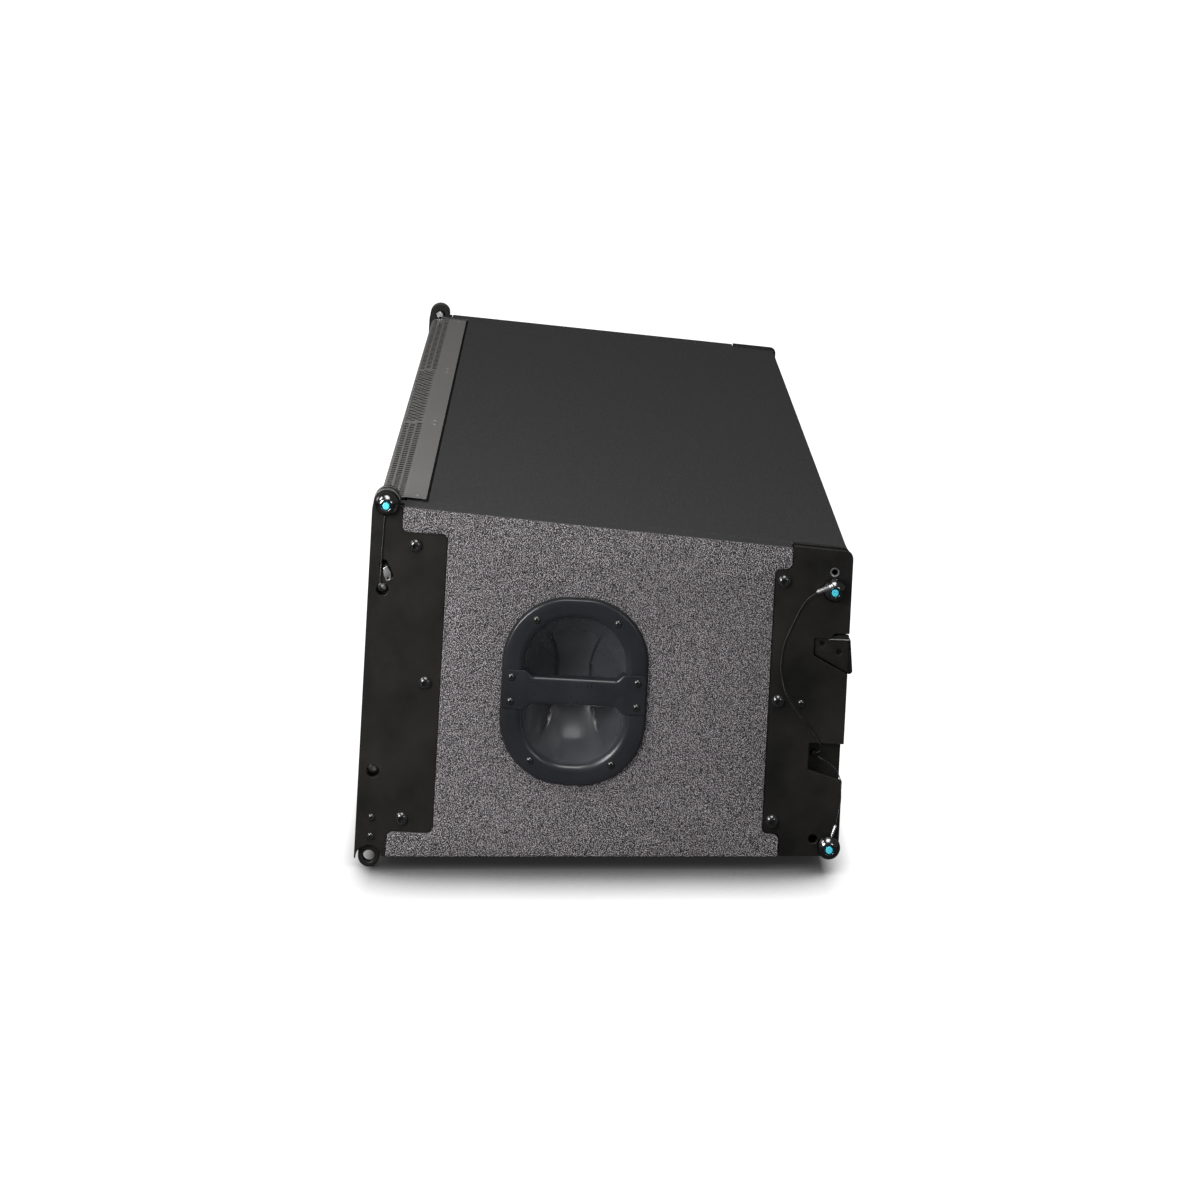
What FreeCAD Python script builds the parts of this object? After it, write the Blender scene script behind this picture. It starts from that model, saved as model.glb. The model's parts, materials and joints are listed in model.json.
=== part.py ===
"""A two-way line array speaker cabinet with its side rigging.

Every piece is drawn in cabinet coordinates: X across the width, Y from the front edge of the
rigging plates (0) towards the rear, Z up from the cabinet's mid-plane. The cabinet tapers by the
same angle at top and bottom. stand() then tilts each piece so that the bottom panel lies flat,
with the origin at the middle of the bottom panel's outer face.
"""
import FreeCAD, Part
import math
import os
import re
import Sketcher

Vector = FreeCAD.Vector
doc = FreeCAD.newDocument("line_array_speaker")

DIMENSIONS = {
    # cabinet
    "half_width": 565, "half_height": 182.5, "taper": 3, "depth": 500, "wood_front": 14,
    "wood_rear": 494, "side_thick": 27, "panel_thick": 18, "lid_front": 56.5, "rabbet_front": 34,
    "rabbet_deep": 2.2, "baffle_front": 62, "divider_inner": 158, "divider_thick": 12,
    "batten_inner": 526.5, "batten_front": 12, "wood_gap": 0.5, "panel_gap": 0.1,
    "cut_over": 20, "pilot_deep": 12,
    # grille
    "grille_half": 525, "grille_front": 4.5, "grille_thick": 2, "grille_bend": 33,
    "grille_rear": 55.6, "grille_radius": 7, "centre_half": 156, "section_gap": 1,
    "foam_thick": 5.4, "foam_half": 170, "foam_inset": 5,
    "grille_screw_y": 44, "grille_screw_inset": 10, "grille_screw_corner": 13,
    "grille_screw_head": 3, "grille_screw_high": 1.3, "grille_screw_shank": 1.5,
    "grille_screw_long": 14, "grille_screw_pilot": 1.55, "grille_screw_clear": 1.6,
    # rigging plates, from outside to inside: plate, channel, plate
    "plate_recess": 1.5, "plate_thick": 5, "channel": 8.5, "front_neck": 32, "front_wide": 79.5,
    "front_wide_half": 154, "rear_wide": 419.5, "rear_neck": 437, "rear_wide_half": 136,
    "rear_edge": 499, "rear_inner_edge": 497, "plate_lip": 1.5, "step_radius": 7,
    "lug_y": 15, "lug_z": 183.5, "lug_radius": 14, "lug_drop": 4, "notch_radius": 13.5,
    "tip_low": 184.5, "tip_wide": 10,
    "tongue_radius": 11.2, "tongue_thick": 8, "tongue_bore": 6.1, "tongue_top": 125,
    "index_z": 94, "index_radius": 6.6, "spacer_radius": 9,
    "bolt_radius": 4, "bolt_hole": 4.2, "bolt_tapped": 4.05, "bolt_head": 7, "bolt_head_high": 4.2,
    "bolt_key": 2.5, "bolt_key_deep": 2.5, "shank_overlap": 0.5,
    "screw_radius": 2, "screw_hole": 2.05, "screw_clear": 2.15, "screw_head": 4,
    "screw_head_high": 2.4, "anchor_high": 4, "slot_half": 4.4,
    "link_y": 480.5, "link_z": 135.9, "link_radius": 4.1,
    "park_y": 472, "park_z": 140, "park_radius": 4.7,
    # quick-release pins
    "pin_radius": 6, "pin_hole": 6.08, "pin_nose": 6.5, "pin_relief": 7.5, "pin_neck": 2.5,
    "pin_neck_radius": 8, "pin_head": 12, "pin_head_high": 14.5, "pin_dome": 6, "pin_gap": 0.05,
    "pin_chamfer": 1, "button_radius": 3.6, "button_bore": 3.68, "button_long": 8,
    "button_proud": 1, "button_round": 0.8, "button_bore_floor": 4, "rear_top_z": 118.5,
    "rear_low_y": 488, "rear_low_z": 145.6,
    # sliding rear arm
    "arm_front": 467, "arm_rear": 494, "arm_low": 18, "arm_high": 148, "arm_travel": 86,
    "arm_slot": 6.15, "arm_round": 3, "tab_rear": 505, "tab_low": 37, "tab_high": 66,
    "tab_rise": 3, "tab_lean": 4,
    # lanyards
    "wire_radius": 0.8, "wire_level": 2.2, "wire_gap": 0.2, "wire_lift": 3, "wire_reach": 13.5,
    # side handles
    "handle_y": 218, "rim_long": 95.5, "rim_wide": 74, "rim_radius": 66, "rim_thick": 5,
    "cup_long": 78.5, "cup_wide": 56, "cup_wall": 2, "cup_deep": 58, "cup_gap": 2,
    "cup_radius": 50, "grip_half": 13.75, "grip_thick": 17, "grip_end_half": 20,
    "grip_end_thick": 2, "grip_end_long": 21, "grip_round": 6, "grip_gap": 0.5,
    "grip_seat_gap": 0.2, "grip_seat_over": 1, "grip_end_gap": 0.4,
    "grip_screw_y": 65, "grip_screw_z": 12.5, "rim_screw_y": 42, "rim_screw_z": 72.6,
    "handle_screw_long": 14, "handle_pilot_deep": 15,
    # drivers
    "woofer_x": 341, "woofer_hole": 140, "woofer_frame": 155, "frame_thick": 6,
    "woofer_screws": 147, "basket_rear": 130, "basket_small": 75, "basket_wall": 4,
    "basket_floor": 6, "basket_hub": 40, "basket_lip": 1.5, "basket_lip_wide": 3,
    "magnet_radius": 78, "magnet_long": 40, "cone_radius": 118, "surround_outer": 133,
    "cone_neck": 30, "cone_deep": 40, "cone_wall": 1.5, "coil_radius": 32, "coil_long": 22,
    "coil_wall": 1.5, "cap_high": 12, "cap_thick": 3, "cap_radius": 22, "cone_seat": 6,
    "surround_high": 4, "surround_flat": 4, "surround_thick": 1, "surround_gap": 0.4,
    "horn_flange_x": 153, "horn_flange_z": 150, "horn_mouth_x": 140, "horn_mouth_z": 132,
    "horn_throat_x": 92, "horn_throat_z": 20, "throat_wall_x": 15, "throat_wall_z": 30,
    "horn_deep": 100, "horn_wall": 4, "horn_gap": 2, "horn_screw_x": 147, "horn_screw_z": 142,
    "compression_radius": 45, "compression_x": 52, "compression_long": 60,
    "compression_round": 5, "driver_gap": 0.05, "driver_screw_high": 2.5, "driver_screw_long": 16,
    # electrics and damping
    "board_thick": 2, "board_half": 100, "board_low": 15, "board_high": 115, "coil_high": 26,
    "input_half": 90, "input_low": -105, "input_high": -25, "input_thick": 3,
    "input_gap": 0.3, "input_border": 15,
    "socket_x": 40, "socket_z": -65, "socket_radius": 12, "socket_flange": 15, "socket_long": 32,
    "socket_flange_thick": 2.5, "socket_bore": 9.5, "socket_bore_deep": 18, "socket_gap": 0.2,
    "damping_thick": 20, "damping_half": 125, "damping_long": 330, "damping_gap": 10,
}

sheet = doc.addObject("Spreadsheet::Sheet", "dim")
for row, (alias, size) in enumerate(DIMENSIONS.items(), start=1):
    sheet.set(f"A{row}", alias)
    sheet.set(f"B{row}", str(size))
    sheet.setAlias(f"B{row}", alias)
doc.recompute()
# an empty object whose only use is to work out expressions
probe = doc.addObject("App::FeaturePython", "probe")

ALIAS = re.compile(r"\b(" + "|".join(DIMENSIONS) + r")\b")


def bound(text):
    """Write the sheet's name before every dimension's name in an expression."""
    return ALIAS.sub(r"dim.\1", str(text))


def number(text):
    """The value of an expression at the sheet's present sizes."""
    return float(probe.evalExpression(bound(text)))


# levels on the right side, measured outwards from the middle
PLATE_FACE = "(half_width - plate_recess)"
PLATE_BACK = "(half_width - plate_recess - plate_thick)"
INNER_FACE = "(half_width - plate_recess - plate_thick - channel)"
INNER_BACK = "(half_width - plate_recess - 2 * plate_thick - channel)"
SIDE_BACK = "(half_width - side_thick)"
RIM_FACE = "(half_width + rim_thick)"
TONGUE_BACK = f"({INNER_FACE} + (channel - tongue_thick) / 2)"
SHANK = f"{PLATE_FACE} - {INNER_BACK} + shank_overlap"
# height of a top or bottom panel measured upright, and the same with a little play
LID = "panel_thick / cos(taper)"
UNDER_LID = f"{LID} + panel_gap"
# front face of the woofers' and the horn's flanges
FLANGE_FRONT = "(baffle_front - frame_thick)"
# where the middle of the bottom face is once the bottom panel lies flat
STAND_Y = "(depth / 2 * cos(taper) - (half_height - depth / 2 * tan(taper)) * sin(taper))"
STAND_Z = "(half_height * cos(taper))"

# places on the right side's plates, as (y, z)
FRONT_BOLTS = [(47, 141), (64, 0), (47, -141)]
REAR_BOLTS = [(429, 124), (429, 0), (429, -124)]
TONGUE_SCREWS = [(16, -141.6), (16, -161)]
ANCHOR_SLOT = [(15, 120.5), (21, 108.5)]
ANCHORS = [(18.5, 113.5), (470, -55)]
STOP_SCREW = (453, -1)
# corners of the two notches in the outer rear plate's rear edge
NOTCHES = [[(463, 49), (502, 35.5), (502, 73), (463, 68)],
           [(463, -69), (502, -79), (502, -41), (463, -41)]]
PINS = {
    "front": ("lug_y", "lug_z"),
    "rear_top": ("link_y", "rear_top_z"),
    "rear_bottom": ("rear_low_y", "-rear_low_z"),
}


def roof(y, inset="0"):
    """Height of the tapered top plane at depth y, less an inset."""
    return f"(half_height - ({y}) * tan(taper) - ({inset}))"


# ---------------------------------------------------------------- drawing helpers

def stand(item, x="0", y="0", z="0"):
    """Put a piece drawn about (x, y, z) in the cabinet where it is when the cabinet stands."""
    tilt = FreeCAD.Rotation(Vector(-1, 0, 0), number("taper"))
    item.Placement = FreeCAD.Placement(Vector(0, 0, 0), tilt)
    item.setExpression("Placement.Base.x", bound(x))
    item.setExpression(
        "Placement.Base.y", bound(f"({y}) * cos(taper) + ({z}) * sin(taper) - {STAND_Y}"))
    item.setExpression(
        "Placement.Base.z", bound(f"({z}) * cos(taper) - ({y}) * sin(taper) + {STAND_Z}"))


def new_body(label, x="0", y="0", z="0"):
    body = doc.addObject("PartDesign::Body", label)
    body.Label = label
    body.AllowCompound = True
    stand(body, x, y, z)
    return body


def place_point(sketch, index, end, point):
    """Hold one point of the sketch at two bound distances from its origin."""
    for kind, text in zip(("DistanceX", "DistanceY"), point):
        constraint = Sketcher.Constraint(kind, -1, 1, index, end, number(text))
        at = sketch.addConstraint(constraint)
        sketch.setExpression(f"Constraints[{at}]", bound(text))


def add_polygon(sketch, points):
    corners = [Vector(number(u), number(v), 0) for u, v in points]
    first = sketch.GeometryCount
    count = len(corners)
    for k in range(count):
        sketch.addGeometry(Part.LineSegment(corners[k], corners[(k + 1) % count]), False)
    for k in range(count):
        sketch.addConstraint(
            Sketcher.Constraint("Coincident", first + k, 2, first + (k + 1) % count, 1))
    for k in range(count):
        place_point(sketch, first + k, 1, points[k])


def add_circle(sketch, u, v, radius):
    centre = Vector(number(u), number(v), 0)
    circle = Part.Circle(centre, Vector(0, 0, 1), number(radius))
    index = sketch.addGeometry(circle, False)
    place_point(sketch, index, 3, (u, v))
    at = sketch.addConstraint(Sketcher.Constraint("Radius", index, number(radius)))
    sketch.setExpression(f"Constraints[{at}]", bound(radius))


def add_rounded_box(sketch, half_u, half_v, radius, middle_u="0"):
    """A rectangle about (middle_u, 0) whose corners are arcs tangent to its sides."""
    first = sketch.GeometryCount
    size = number(radius)
    spots = []
    for k, (side, up) in enumerate((("", "-"), ("", ""), ("-", ""), ("-", "-"))):
        u = f"{middle_u} + ({side}1) * (({half_u}) - ({radius}))"
        v = f"({up}1) * (({half_v}) - ({radius}))"
        centre = Vector(number(u), number(v), 0)
        circle = Part.Circle(centre, Vector(0, 0, 1), size)
        start = math.radians(90 * (k - 1))
        arc = Part.ArcOfCircle(circle, start, start + math.pi / 2)
        sketch.addGeometry(arc, False)
        spots.append((u, v, arc.StartPoint, arc.EndPoint))
    for k in range(4):
        line = Part.LineSegment(spots[k][3], spots[(k + 1) % 4][2])
        sketch.addGeometry(line, False)
    for k in range(4):
        line = first + 4 + k
        sketch.addConstraint(Sketcher.Constraint("Tangent", first + k, 2, line, 1))
        sketch.addConstraint(Sketcher.Constraint("Tangent", line, 2, first + (k + 1) % 4, 1))
        place_point(sketch, first + k, 3, spots[k][:2])
        at = sketch.addConstraint(Sketcher.Constraint("Radius", first + k, size))
        sketch.setExpression(f"Constraints[{at}]", bound(radius))


def new_sketch(body, plane, level, polygons=(), circles=(), rounded=()):
    """A sketch on one of the body's origin planes, moved to a level along +X, +Y or +Z."""
    support = [item for item in body.Origin.OriginFeatures if item.Role == plane + "_Plane"][0]
    sketch = body.newObject("Sketcher::SketchObject", body.Label + "_sketch")
    sketch.AttachmentSupport = [(support, "")]
    sketch.MapMode = "FlatFace"
    sign = "-" if plane == "XZ" else ""
    sketch.setExpression("AttachmentOffset.Base.z", bound(f"{sign}({level})"))
    for points in polygons:
        add_polygon(sketch, points)
    for circle in circles:
        add_circle(sketch, *circle)
    for box in rounded:
        add_rounded_box(sketch, *box)
    return sketch


def pad(body, plane, level, length, polygons=(), circles=(), rounded=()):
    """Material from the level, in the direction of increasing X, Y or Z."""
    sketch = new_sketch(body, plane, level, polygons, circles, rounded)
    feature = body.newObject("PartDesign::Pad", body.Label + "_pad")
    feature.Profile = sketch
    feature.setExpression("Length", bound(length))
    feature.Reversed = plane == "XZ"
    body.Tip = feature
    return feature


def pocket(body, plane, level, length, polygons=(), circles=(), rounded=()):
    """A cut from the level, in the direction of decreasing X, Y or Z."""
    sketch = new_sketch(body, plane, level, polygons, circles, rounded)
    feature = body.newObject("PartDesign::Pocket", body.Label + "_pocket")
    feature.Profile = sketch
    feature.setExpression("Length", bound(length))
    feature.Reversed = plane == "XZ"
    body.Tip = feature
    return feature


def revolve(body, points, axis):
    """A profile on the XY plane turned about the X axis (H_Axis) or the Y axis (V_Axis)."""
    sketch = new_sketch(body, "XY", "0", [points])
    feature = body.newObject("PartDesign::Revolution", body.Label + "_turned")
    feature.Profile = sketch
    feature.ReferenceAxis = (sketch, [axis])
    feature.Angle = 360
    body.Tip = feature
    return feature


def round_edges(body, radius, picked):
    """Round the edges of the body so far for which picked(edge) is true."""
    doc.recompute()
    base = body.Tip
    names = [f"Edge{k}" for k, edge in enumerate(base.Shape.Edges, start=1) if picked(edge)]
    fillet = body.newObject("PartDesign::Fillet", body.Label + "_fillet")
    fillet.Base = (base, names)
    fillet.setExpression("Radius", bound(radius))
    body.Tip = fillet


def along_x_at(corners):
    """Picks edges that run along X through one of the (y, z) corners."""
    places = [(number(y), number(z)) for y, z in corners]

    def picked(edge):
        box = edge.BoundBox
        if box.YLength > 0.01 or box.ZLength > 0.01 or box.XLength < 0.5:
            return False
        return any(math.hypot(box.Center.y - y, box.Center.z - z) < 0.3 for y, z in places)
    return picked


def rim_at(axis, level, radius):
    """Picks circular edges of one radius at one level along the axis."""
    def picked(edge):
        curve = edge.Curve
        if not isinstance(curve, Part.Circle) or abs(curve.Radius - number(radius)) > 0.01:
            return False
        return abs(getattr(curve.Center, axis) - number(level)) < 0.01
    return picked


def mirror(source, label):
    """The same piece on the left side."""
    twin = doc.addObject("Part::Mirroring", label)
    twin.Label = label
    twin.Source = source
    twin.Normal = Vector(1, 0, 0)
    return twin


def group(label, members):
    """Several loose solids kept as one piece list entry."""
    compound = doc.addObject("Part::Compound", label)
    compound.Label = label
    compound.Links = members
    return compound


def pair(source):
    """The right-hand piece and its left-hand twin."""
    return [source, mirror(source, source.Label.replace("_right", "_left"))]


def both_sides(body, label):
    """One entry that holds a body's solids on the right and their twins on the left."""
    return group(label, [body, mirror(body, label + "_twin")])


def box_outline(y_low, y_high, z_low, z_high):
    return [(y_low, z_low), (y_high, z_low), (y_high, z_high), (y_low, z_high)]


def tapered_outline(y_low, y_high, inset):
    """A piece that fills the taper between two depths, less an inset at top and bottom."""
    return [(y_low, "-" + roof(y_low, inset)), (y_high, "-" + roof(y_high, inset)),
            (y_high, roof(y_high, inset)), (y_low, roof(y_low, inset))]


# ---------------------------------------------------------------- cabinet

def step_outline(open_end, neck, wide, half):
    """The T-shaped recess that holds a pair of rigging plates."""
    over = "(half_height + cut_over)"
    return [(open_end, f"-{over}"), (neck, f"-{over}"), (neck, f"-({half})"),
            (wide, f"-({half})"), (wide, half), (neck, half), (neck, over), (open_end, over)]


def handle_screw_points():
    """Where the handle's rim and grip are screwed to the side."""
    spots = []
    for side in ("-", ""):
        for up in ("-", ""):
            spots.append((f"handle_y + ({side}grip_screw_y)", f"{up}grip_screw_z"))
            spots.append((f"handle_y + ({side}rim_screw_y)", f"{up}rim_screw_z"))
    return spots


def side_panel():
    body = new_body("side_panel_right")
    pad(body, "YZ", SIDE_BACK, "side_thick", [tapered_outline("wood_front", "wood_rear", "0")])
    recess = "plate_recess + 2 * plate_thick + channel"
    front = step_outline("wood_front - cut_over", "front_neck + wood_gap",
                         "front_wide + wood_gap", "front_wide_half + wood_gap")
    rear = step_outline("wood_rear + cut_over", "rear_neck - wood_gap",
                        "rear_wide - wood_gap", "rear_wide_half + wood_gap")
    pocket(body, "YZ", "half_width", recess, [front])
    pocket(body, "YZ", "half_width", recess, [rear])
    hole = ("cup_wide + cup_gap", "cup_long + cup_gap", "cup_radius + cup_gap", "handle_y")
    pocket(body, "YZ", "half_width", "side_thick", rounded=[hole])
    pins = [(y, z, "pin_relief") for y, z in PINS.values()] + [("lug_y", "-lug_z", "pin_relief")]
    pocket(body, "YZ", "half_width", "side_thick", circles=pins)
    screws = [(y, z, "screw_hole") for y, z in handle_screw_points()]
    pocket(body, "YZ", "half_width", "handle_pilot_deep", circles=screws)
    steps = [("front_neck + wood_gap", "front_wide_half + wood_gap"),
             ("front_neck + wood_gap", "-front_wide_half - wood_gap"),
             ("rear_neck - wood_gap", "rear_wide_half + wood_gap"),
             ("rear_neck - wood_gap", "-rear_wide_half - wood_gap")]
    round_edges(body, "step_radius", along_x_at(steps))
    return pair(body)


def grille_screw_points(radius):
    """Where the grille sections are screwed down, along the top and bottom strips."""
    places = ["centre_half - grille_screw_inset", "centre_half + section_gap + grille_screw_inset",
              "grille_half - grille_screw_corner"]
    return [(f"{side}({x})", "grille_screw_y", radius) for side in ("-", "") for x in places]


def lid(label, up):
    """The top (up is '') or bottom (up is '-') panel, rabbeted at the front for the grille."""
    body = new_body(label)
    points = [("rabbet_front", f"{up}{roof('rabbet_front', 'rabbet_deep')}"),
              ("lid_front", f"{up}{roof('lid_front', 'rabbet_deep')}"),
              ("lid_front", f"{up}{roof('lid_front')}"),
              ("wood_rear", f"{up}{roof('wood_rear')}"),
              ("wood_rear", f"{up}{roof('wood_rear', LID)}"),
              ("rabbet_front", f"{up}{roof('rabbet_front', LID)}")]
    pad(body, "YZ", f"-{SIDE_BACK}", f"2 * {SIDE_BACK}", [points])
    level = "-half_height + panel_thick" if up else "half_height"
    pocket(body, "XY", level, "panel_thick", circles=grille_screw_points("grille_screw_pilot"))
    return body


def woofer_places(radius_of_circle, hole):
    """Eight evenly spaced holes round each woofer."""
    spots = []
    for side in ("-", ""):
        for k in range(8):
            turn = 22.5 + 45 * k
            spots.append((f"{side}woofer_x + {radius_of_circle} * cos({turn})",
                          f"{radius_of_circle} * sin({turn})", hole))
    return spots


def horn_screw_places(hole):
    """Six holes down the horn flange's two sides."""
    return [(f"{side}horn_screw_x", z, hole)
            for side in ("-", "") for z in ("-horn_screw_z", "0", "horn_screw_z")]


def baffle():
    body = new_body("baffle")
    height = roof("baffle_front + panel_thick", UNDER_LID)
    outline = box_outline(f"-{SIDE_BACK}", SIDE_BACK, f"-{height}", height)
    pad(body, "XZ", "baffle_front", "panel_thick", [outline])
    mouth = box_outline("-horn_mouth_x - horn_gap", "horn_mouth_x + horn_gap",
                        "-horn_mouth_z - horn_gap", "horn_mouth_z + horn_gap")
    woofers = [("-woofer_x", "0", "woofer_hole"), ("woofer_x", "0", "woofer_hole")]
    rear = "baffle_front + panel_thick"
    pocket(body, "XZ", rear, "panel_thick", [mouth], woofers)
    holes = woofer_places("woofer_screws", "screw_hole") + horn_screw_places("screw_hole")
    pocket(body, "XZ", "baffle_front + pilot_deep", "pilot_deep", circles=holes)
    return body


def back_panel():
    body = new_body("back_panel")
    height = roof("wood_rear", UNDER_LID)
    outline = box_outline(f"-{SIDE_BACK}", SIDE_BACK, f"-{height}", height)
    pad(body, "XZ", "wood_rear - panel_thick", "panel_thick", [outline])
    seat = box_outline("-input_half - input_gap", "input_half + input_gap",
                       "input_low - input_gap", "input_high + input_gap")
    pocket(body, "XZ", "wood_rear", "input_thick", [seat])
    window = box_outline("-input_half + input_border", "input_half - input_border",
                         "input_low + input_border", "input_high - input_border")
    pocket(body, "XZ", "wood_rear", "panel_thick", [window])
    return body


def chamber_dividers():
    body = new_body("chamber_divider")
    outline = tapered_outline("baffle_front + panel_thick", "wood_rear - panel_thick",
                              UNDER_LID)
    pad(body, "YZ", "divider_inner", "divider_thick", [outline])
    return both_sides(body, "chamber_dividers")


def front_battens():
    body = new_body("front_batten")
    height = roof("baffle_front", UNDER_LID)
    outline = box_outline("batten_front", "baffle_front", f"-{height}", height)
    pad(body, "YZ", "batten_inner", f"{SIDE_BACK} - batten_inner", [outline])
    return both_sides(body, "front_battens")


def cabinet():
    return side_panel() + [
        lid("top_panel", ""), lid("bottom_panel", "-"), baffle(), back_panel(),
        chamber_dividers(), front_battens()]


# ---------------------------------------------------------------- grille

def grille_section(label, x_low, x_high):
    """A folded steel section: strip, perforated flange, perforated face, and the same below."""
    body = new_body(label)
    face = "(half_height - (2 * grille_bend - grille_front) * tan(taper))"
    upper = [("grille_rear", roof("grille_rear")), ("grille_bend", roof("grille_bend")),
             ("grille_front", face)]
    inner = [("grille_front + grille_thick", f"{face} - grille_thick"),
             ("grille_bend", roof("grille_bend", "grille_thick")),
             ("grille_rear", roof("grille_rear", "grille_thick"))]
    lower_out = [(y, f"-({z})") for y, z in reversed(upper)]
    lower_in = [(y, f"-({z})") for y, z in reversed(inner)]
    pad(body, "YZ", x_low, f"({x_high}) - ({x_low})", [upper + lower_out + lower_in + inner])
    screws = [spot for spot in grille_screw_points("grille_screw_clear")
              if number(x_low) < number(spot[0]) < number(x_high)]
    pocket(body, "XY", "half_height + 1", "2 * half_height + 2", circles=screws)
    round_edges(body, "grille_radius", along_x_at([("grille_front", face),
                                                   ("grille_front", f"-({face})")]))
    round_edges(body, "grille_radius - grille_thick", along_x_at(
        [("grille_front + grille_thick", f"{face} - grille_thick"),
         ("grille_front + grille_thick", f"-({face} - grille_thick)")]))
    return body


def grille_foam():
    body = new_body("grille_foam")
    outline = box_outline("grille_front + grille_thick + 0.1",
                          "grille_front + grille_thick + 0.1 + foam_thick",
                          "-foam_half", "foam_half")
    pad(body, "YZ", "-grille_half + foam_inset", "2 * (grille_half - foam_inset)", [outline])
    return body


def grille_screws():
    """Pan-head screws along both strips, seated just clear of the sloping steel."""
    body = new_body("grille_screws")
    seat = f"{roof('grille_screw_y')} + 0.25"
    heads = grille_screw_points("grille_screw_head")
    shanks = grille_screw_points("grille_screw_shank")
    long = "grille_screw_long + shank_overlap"
    pad(body, "XY", seat, "grille_screw_high", circles=heads)
    pad(body, "XY", f"{seat} - grille_screw_long", long, circles=shanks)
    pad(body, "XY", f"-({seat}) - grille_screw_high", "grille_screw_high", circles=heads)
    pad(body, "XY", f"-({seat}) - shank_overlap", long, circles=shanks)
    return body


def grille():
    right = grille_section("grille_right", "centre_half + section_gap", "grille_half")
    centre = grille_section("grille_center", "-centre_half", "centre_half")
    return pair(right) + [centre, grille_foam(), grille_screws()]


# ---------------------------------------------------------------- rigging

def slot_sides(start, end):
    """The straight part of a slot between the centres of its two round ends."""
    lean = math.atan2(end[1] - start[1], end[0] - start[0])
    across = (-math.sin(lean), math.cos(lean))
    corners = [(start, 1), (start, -1), (end, -1), (end, 1)]
    return [(f"{y} + slot_half * ({side * across[0]:.5f})",
             f"{z} + slot_half * ({side * across[1]:.5f})") for (y, z), side in corners]


def front_plate(label, level, bolt_hole, slotted):
    """The front hanging plate: a clevis lug above and a notch for the tongue below."""
    body = new_body(label)
    flat = roof("front_neck")
    points = [("0", "-tip_low"), ("tip_wide", "-tip_low"), ("tip_wide", f"-{flat}"),
              ("front_neck", f"-{flat}"), ("front_neck", "-front_wide_half"),
              ("front_wide", "-front_wide_half"), ("front_wide", "front_wide_half"),
              ("front_neck", "front_wide_half"), ("front_neck", flat),
              ("lug_y + lug_radius", flat), ("lug_y + lug_radius", "lug_z"),
              ("lug_y - lug_radius", "lug_z"), ("0", "lug_z - lug_drop")]
    pad(body, "YZ", level, "plate_thick", [points])
    pad(body, "YZ", level, "plate_thick", circles=[("lug_y", "lug_z", "lug_radius")])
    holes = [("lug_y", "-lug_z", "notch_radius"), ("lug_y", "lug_z", "pin_hole"),
             ("lug_y", "index_z", "index_radius"), ("lug_y", "-index_z", "index_radius")]
    holes += [(y, z, bolt_hole) for y, z in FRONT_BOLTS]
    holes += [(y, z, "screw_hole") for y, z in TONGUE_SCREWS]
    if not slotted:
        holes.append((*ANCHORS[0], "screw_hole"))
    face = f"{level} + plate_thick"
    pocket(body, "YZ", face, "plate_thick", circles=holes)
    if slotted:
        for y, z in ANCHOR_SLOT:
            pocket(body, "YZ", face, "plate_thick", circles=[(y, z, "slot_half")])
        pocket(body, "YZ", face, "plate_thick", [slot_sides(*ANCHOR_SLOT)])
    corners = [("front_wide", "front_wide_half"), ("front_wide", "-front_wide_half"),
               ("front_neck", "front_wide_half"), ("front_neck", "-front_wide_half")]
    round_edges(body, "step_radius", along_x_at(corners))
    return body


def rear_plate(label, level, edge, bolt_hole, notches):
    """The rear hanging plate. The outer one has two notches in its rear edge."""
    body = new_body(label)
    top = f"({roof('rear_neck')} + plate_lip)"
    top_rear = f"({roof(edge)} + plate_lip)"
    points = [("rear_wide", "-rear_wide_half"), ("rear_neck", "-rear_wide_half"),
              ("rear_neck", f"-{roof('rear_neck')}"), (edge, f"-{roof(edge)}"),
              (edge, top_rear), ("rear_neck", top), ("rear_neck", "rear_wide_half"),
              ("rear_wide", "rear_wide_half")]
    pad(body, "YZ", level, "plate_thick", [points])
    holes = [("link_y", "rear_top_z", "pin_hole"), ("rear_low_y", "-rear_low_z", "pin_hole"),
             ("link_y", "link_z", "link_radius"), ("park_y", "-park_z", "park_radius"),
             (*STOP_SCREW, "screw_hole")]
    holes += [(y, z, bolt_hole) for y, z in REAR_BOLTS]
    if not notches:
        holes.append((*ANCHORS[1], "screw_hole"))
    face = f"{level} + plate_thick"
    pocket(body, "YZ", face, "plate_thick", circles=holes)
    if notches:
        pocket(body, "YZ", face, "plate_thick", NOTCHES)
    corners = [("rear_wide", "rear_wide_half"), ("rear_wide", "-rear_wide_half"),
               ("rear_neck", "rear_wide_half"), ("rear_neck", "-rear_wide_half"),
               (edge, top_rear)]
    round_edges(body, "step_radius", along_x_at(corners))
    return body


def front_tongue():
    """The lug that hangs below and enters the clevis of the cabinet underneath."""
    body = new_body("front_tongue_right")
    strap = box_outline("lug_y - tongue_radius", "lug_y + tongue_radius", "-lug_z", "-tongue_top")
    pad(body, "YZ", TONGUE_BACK, "tongue_thick", [strap])
    pad(body, "YZ", TONGUE_BACK, "tongue_thick", circles=[("lug_y", "-lug_z", "tongue_radius")])
    holes = [("lug_y", "-lug_z", "tongue_bore")]
    holes += [(y, z, "screw_hole") for y, z in TONGUE_SCREWS]
    pocket(body, "YZ", f"{TONGUE_BACK} + tongue_thick", "tongue_thick", circles=holes)
    return body


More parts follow.
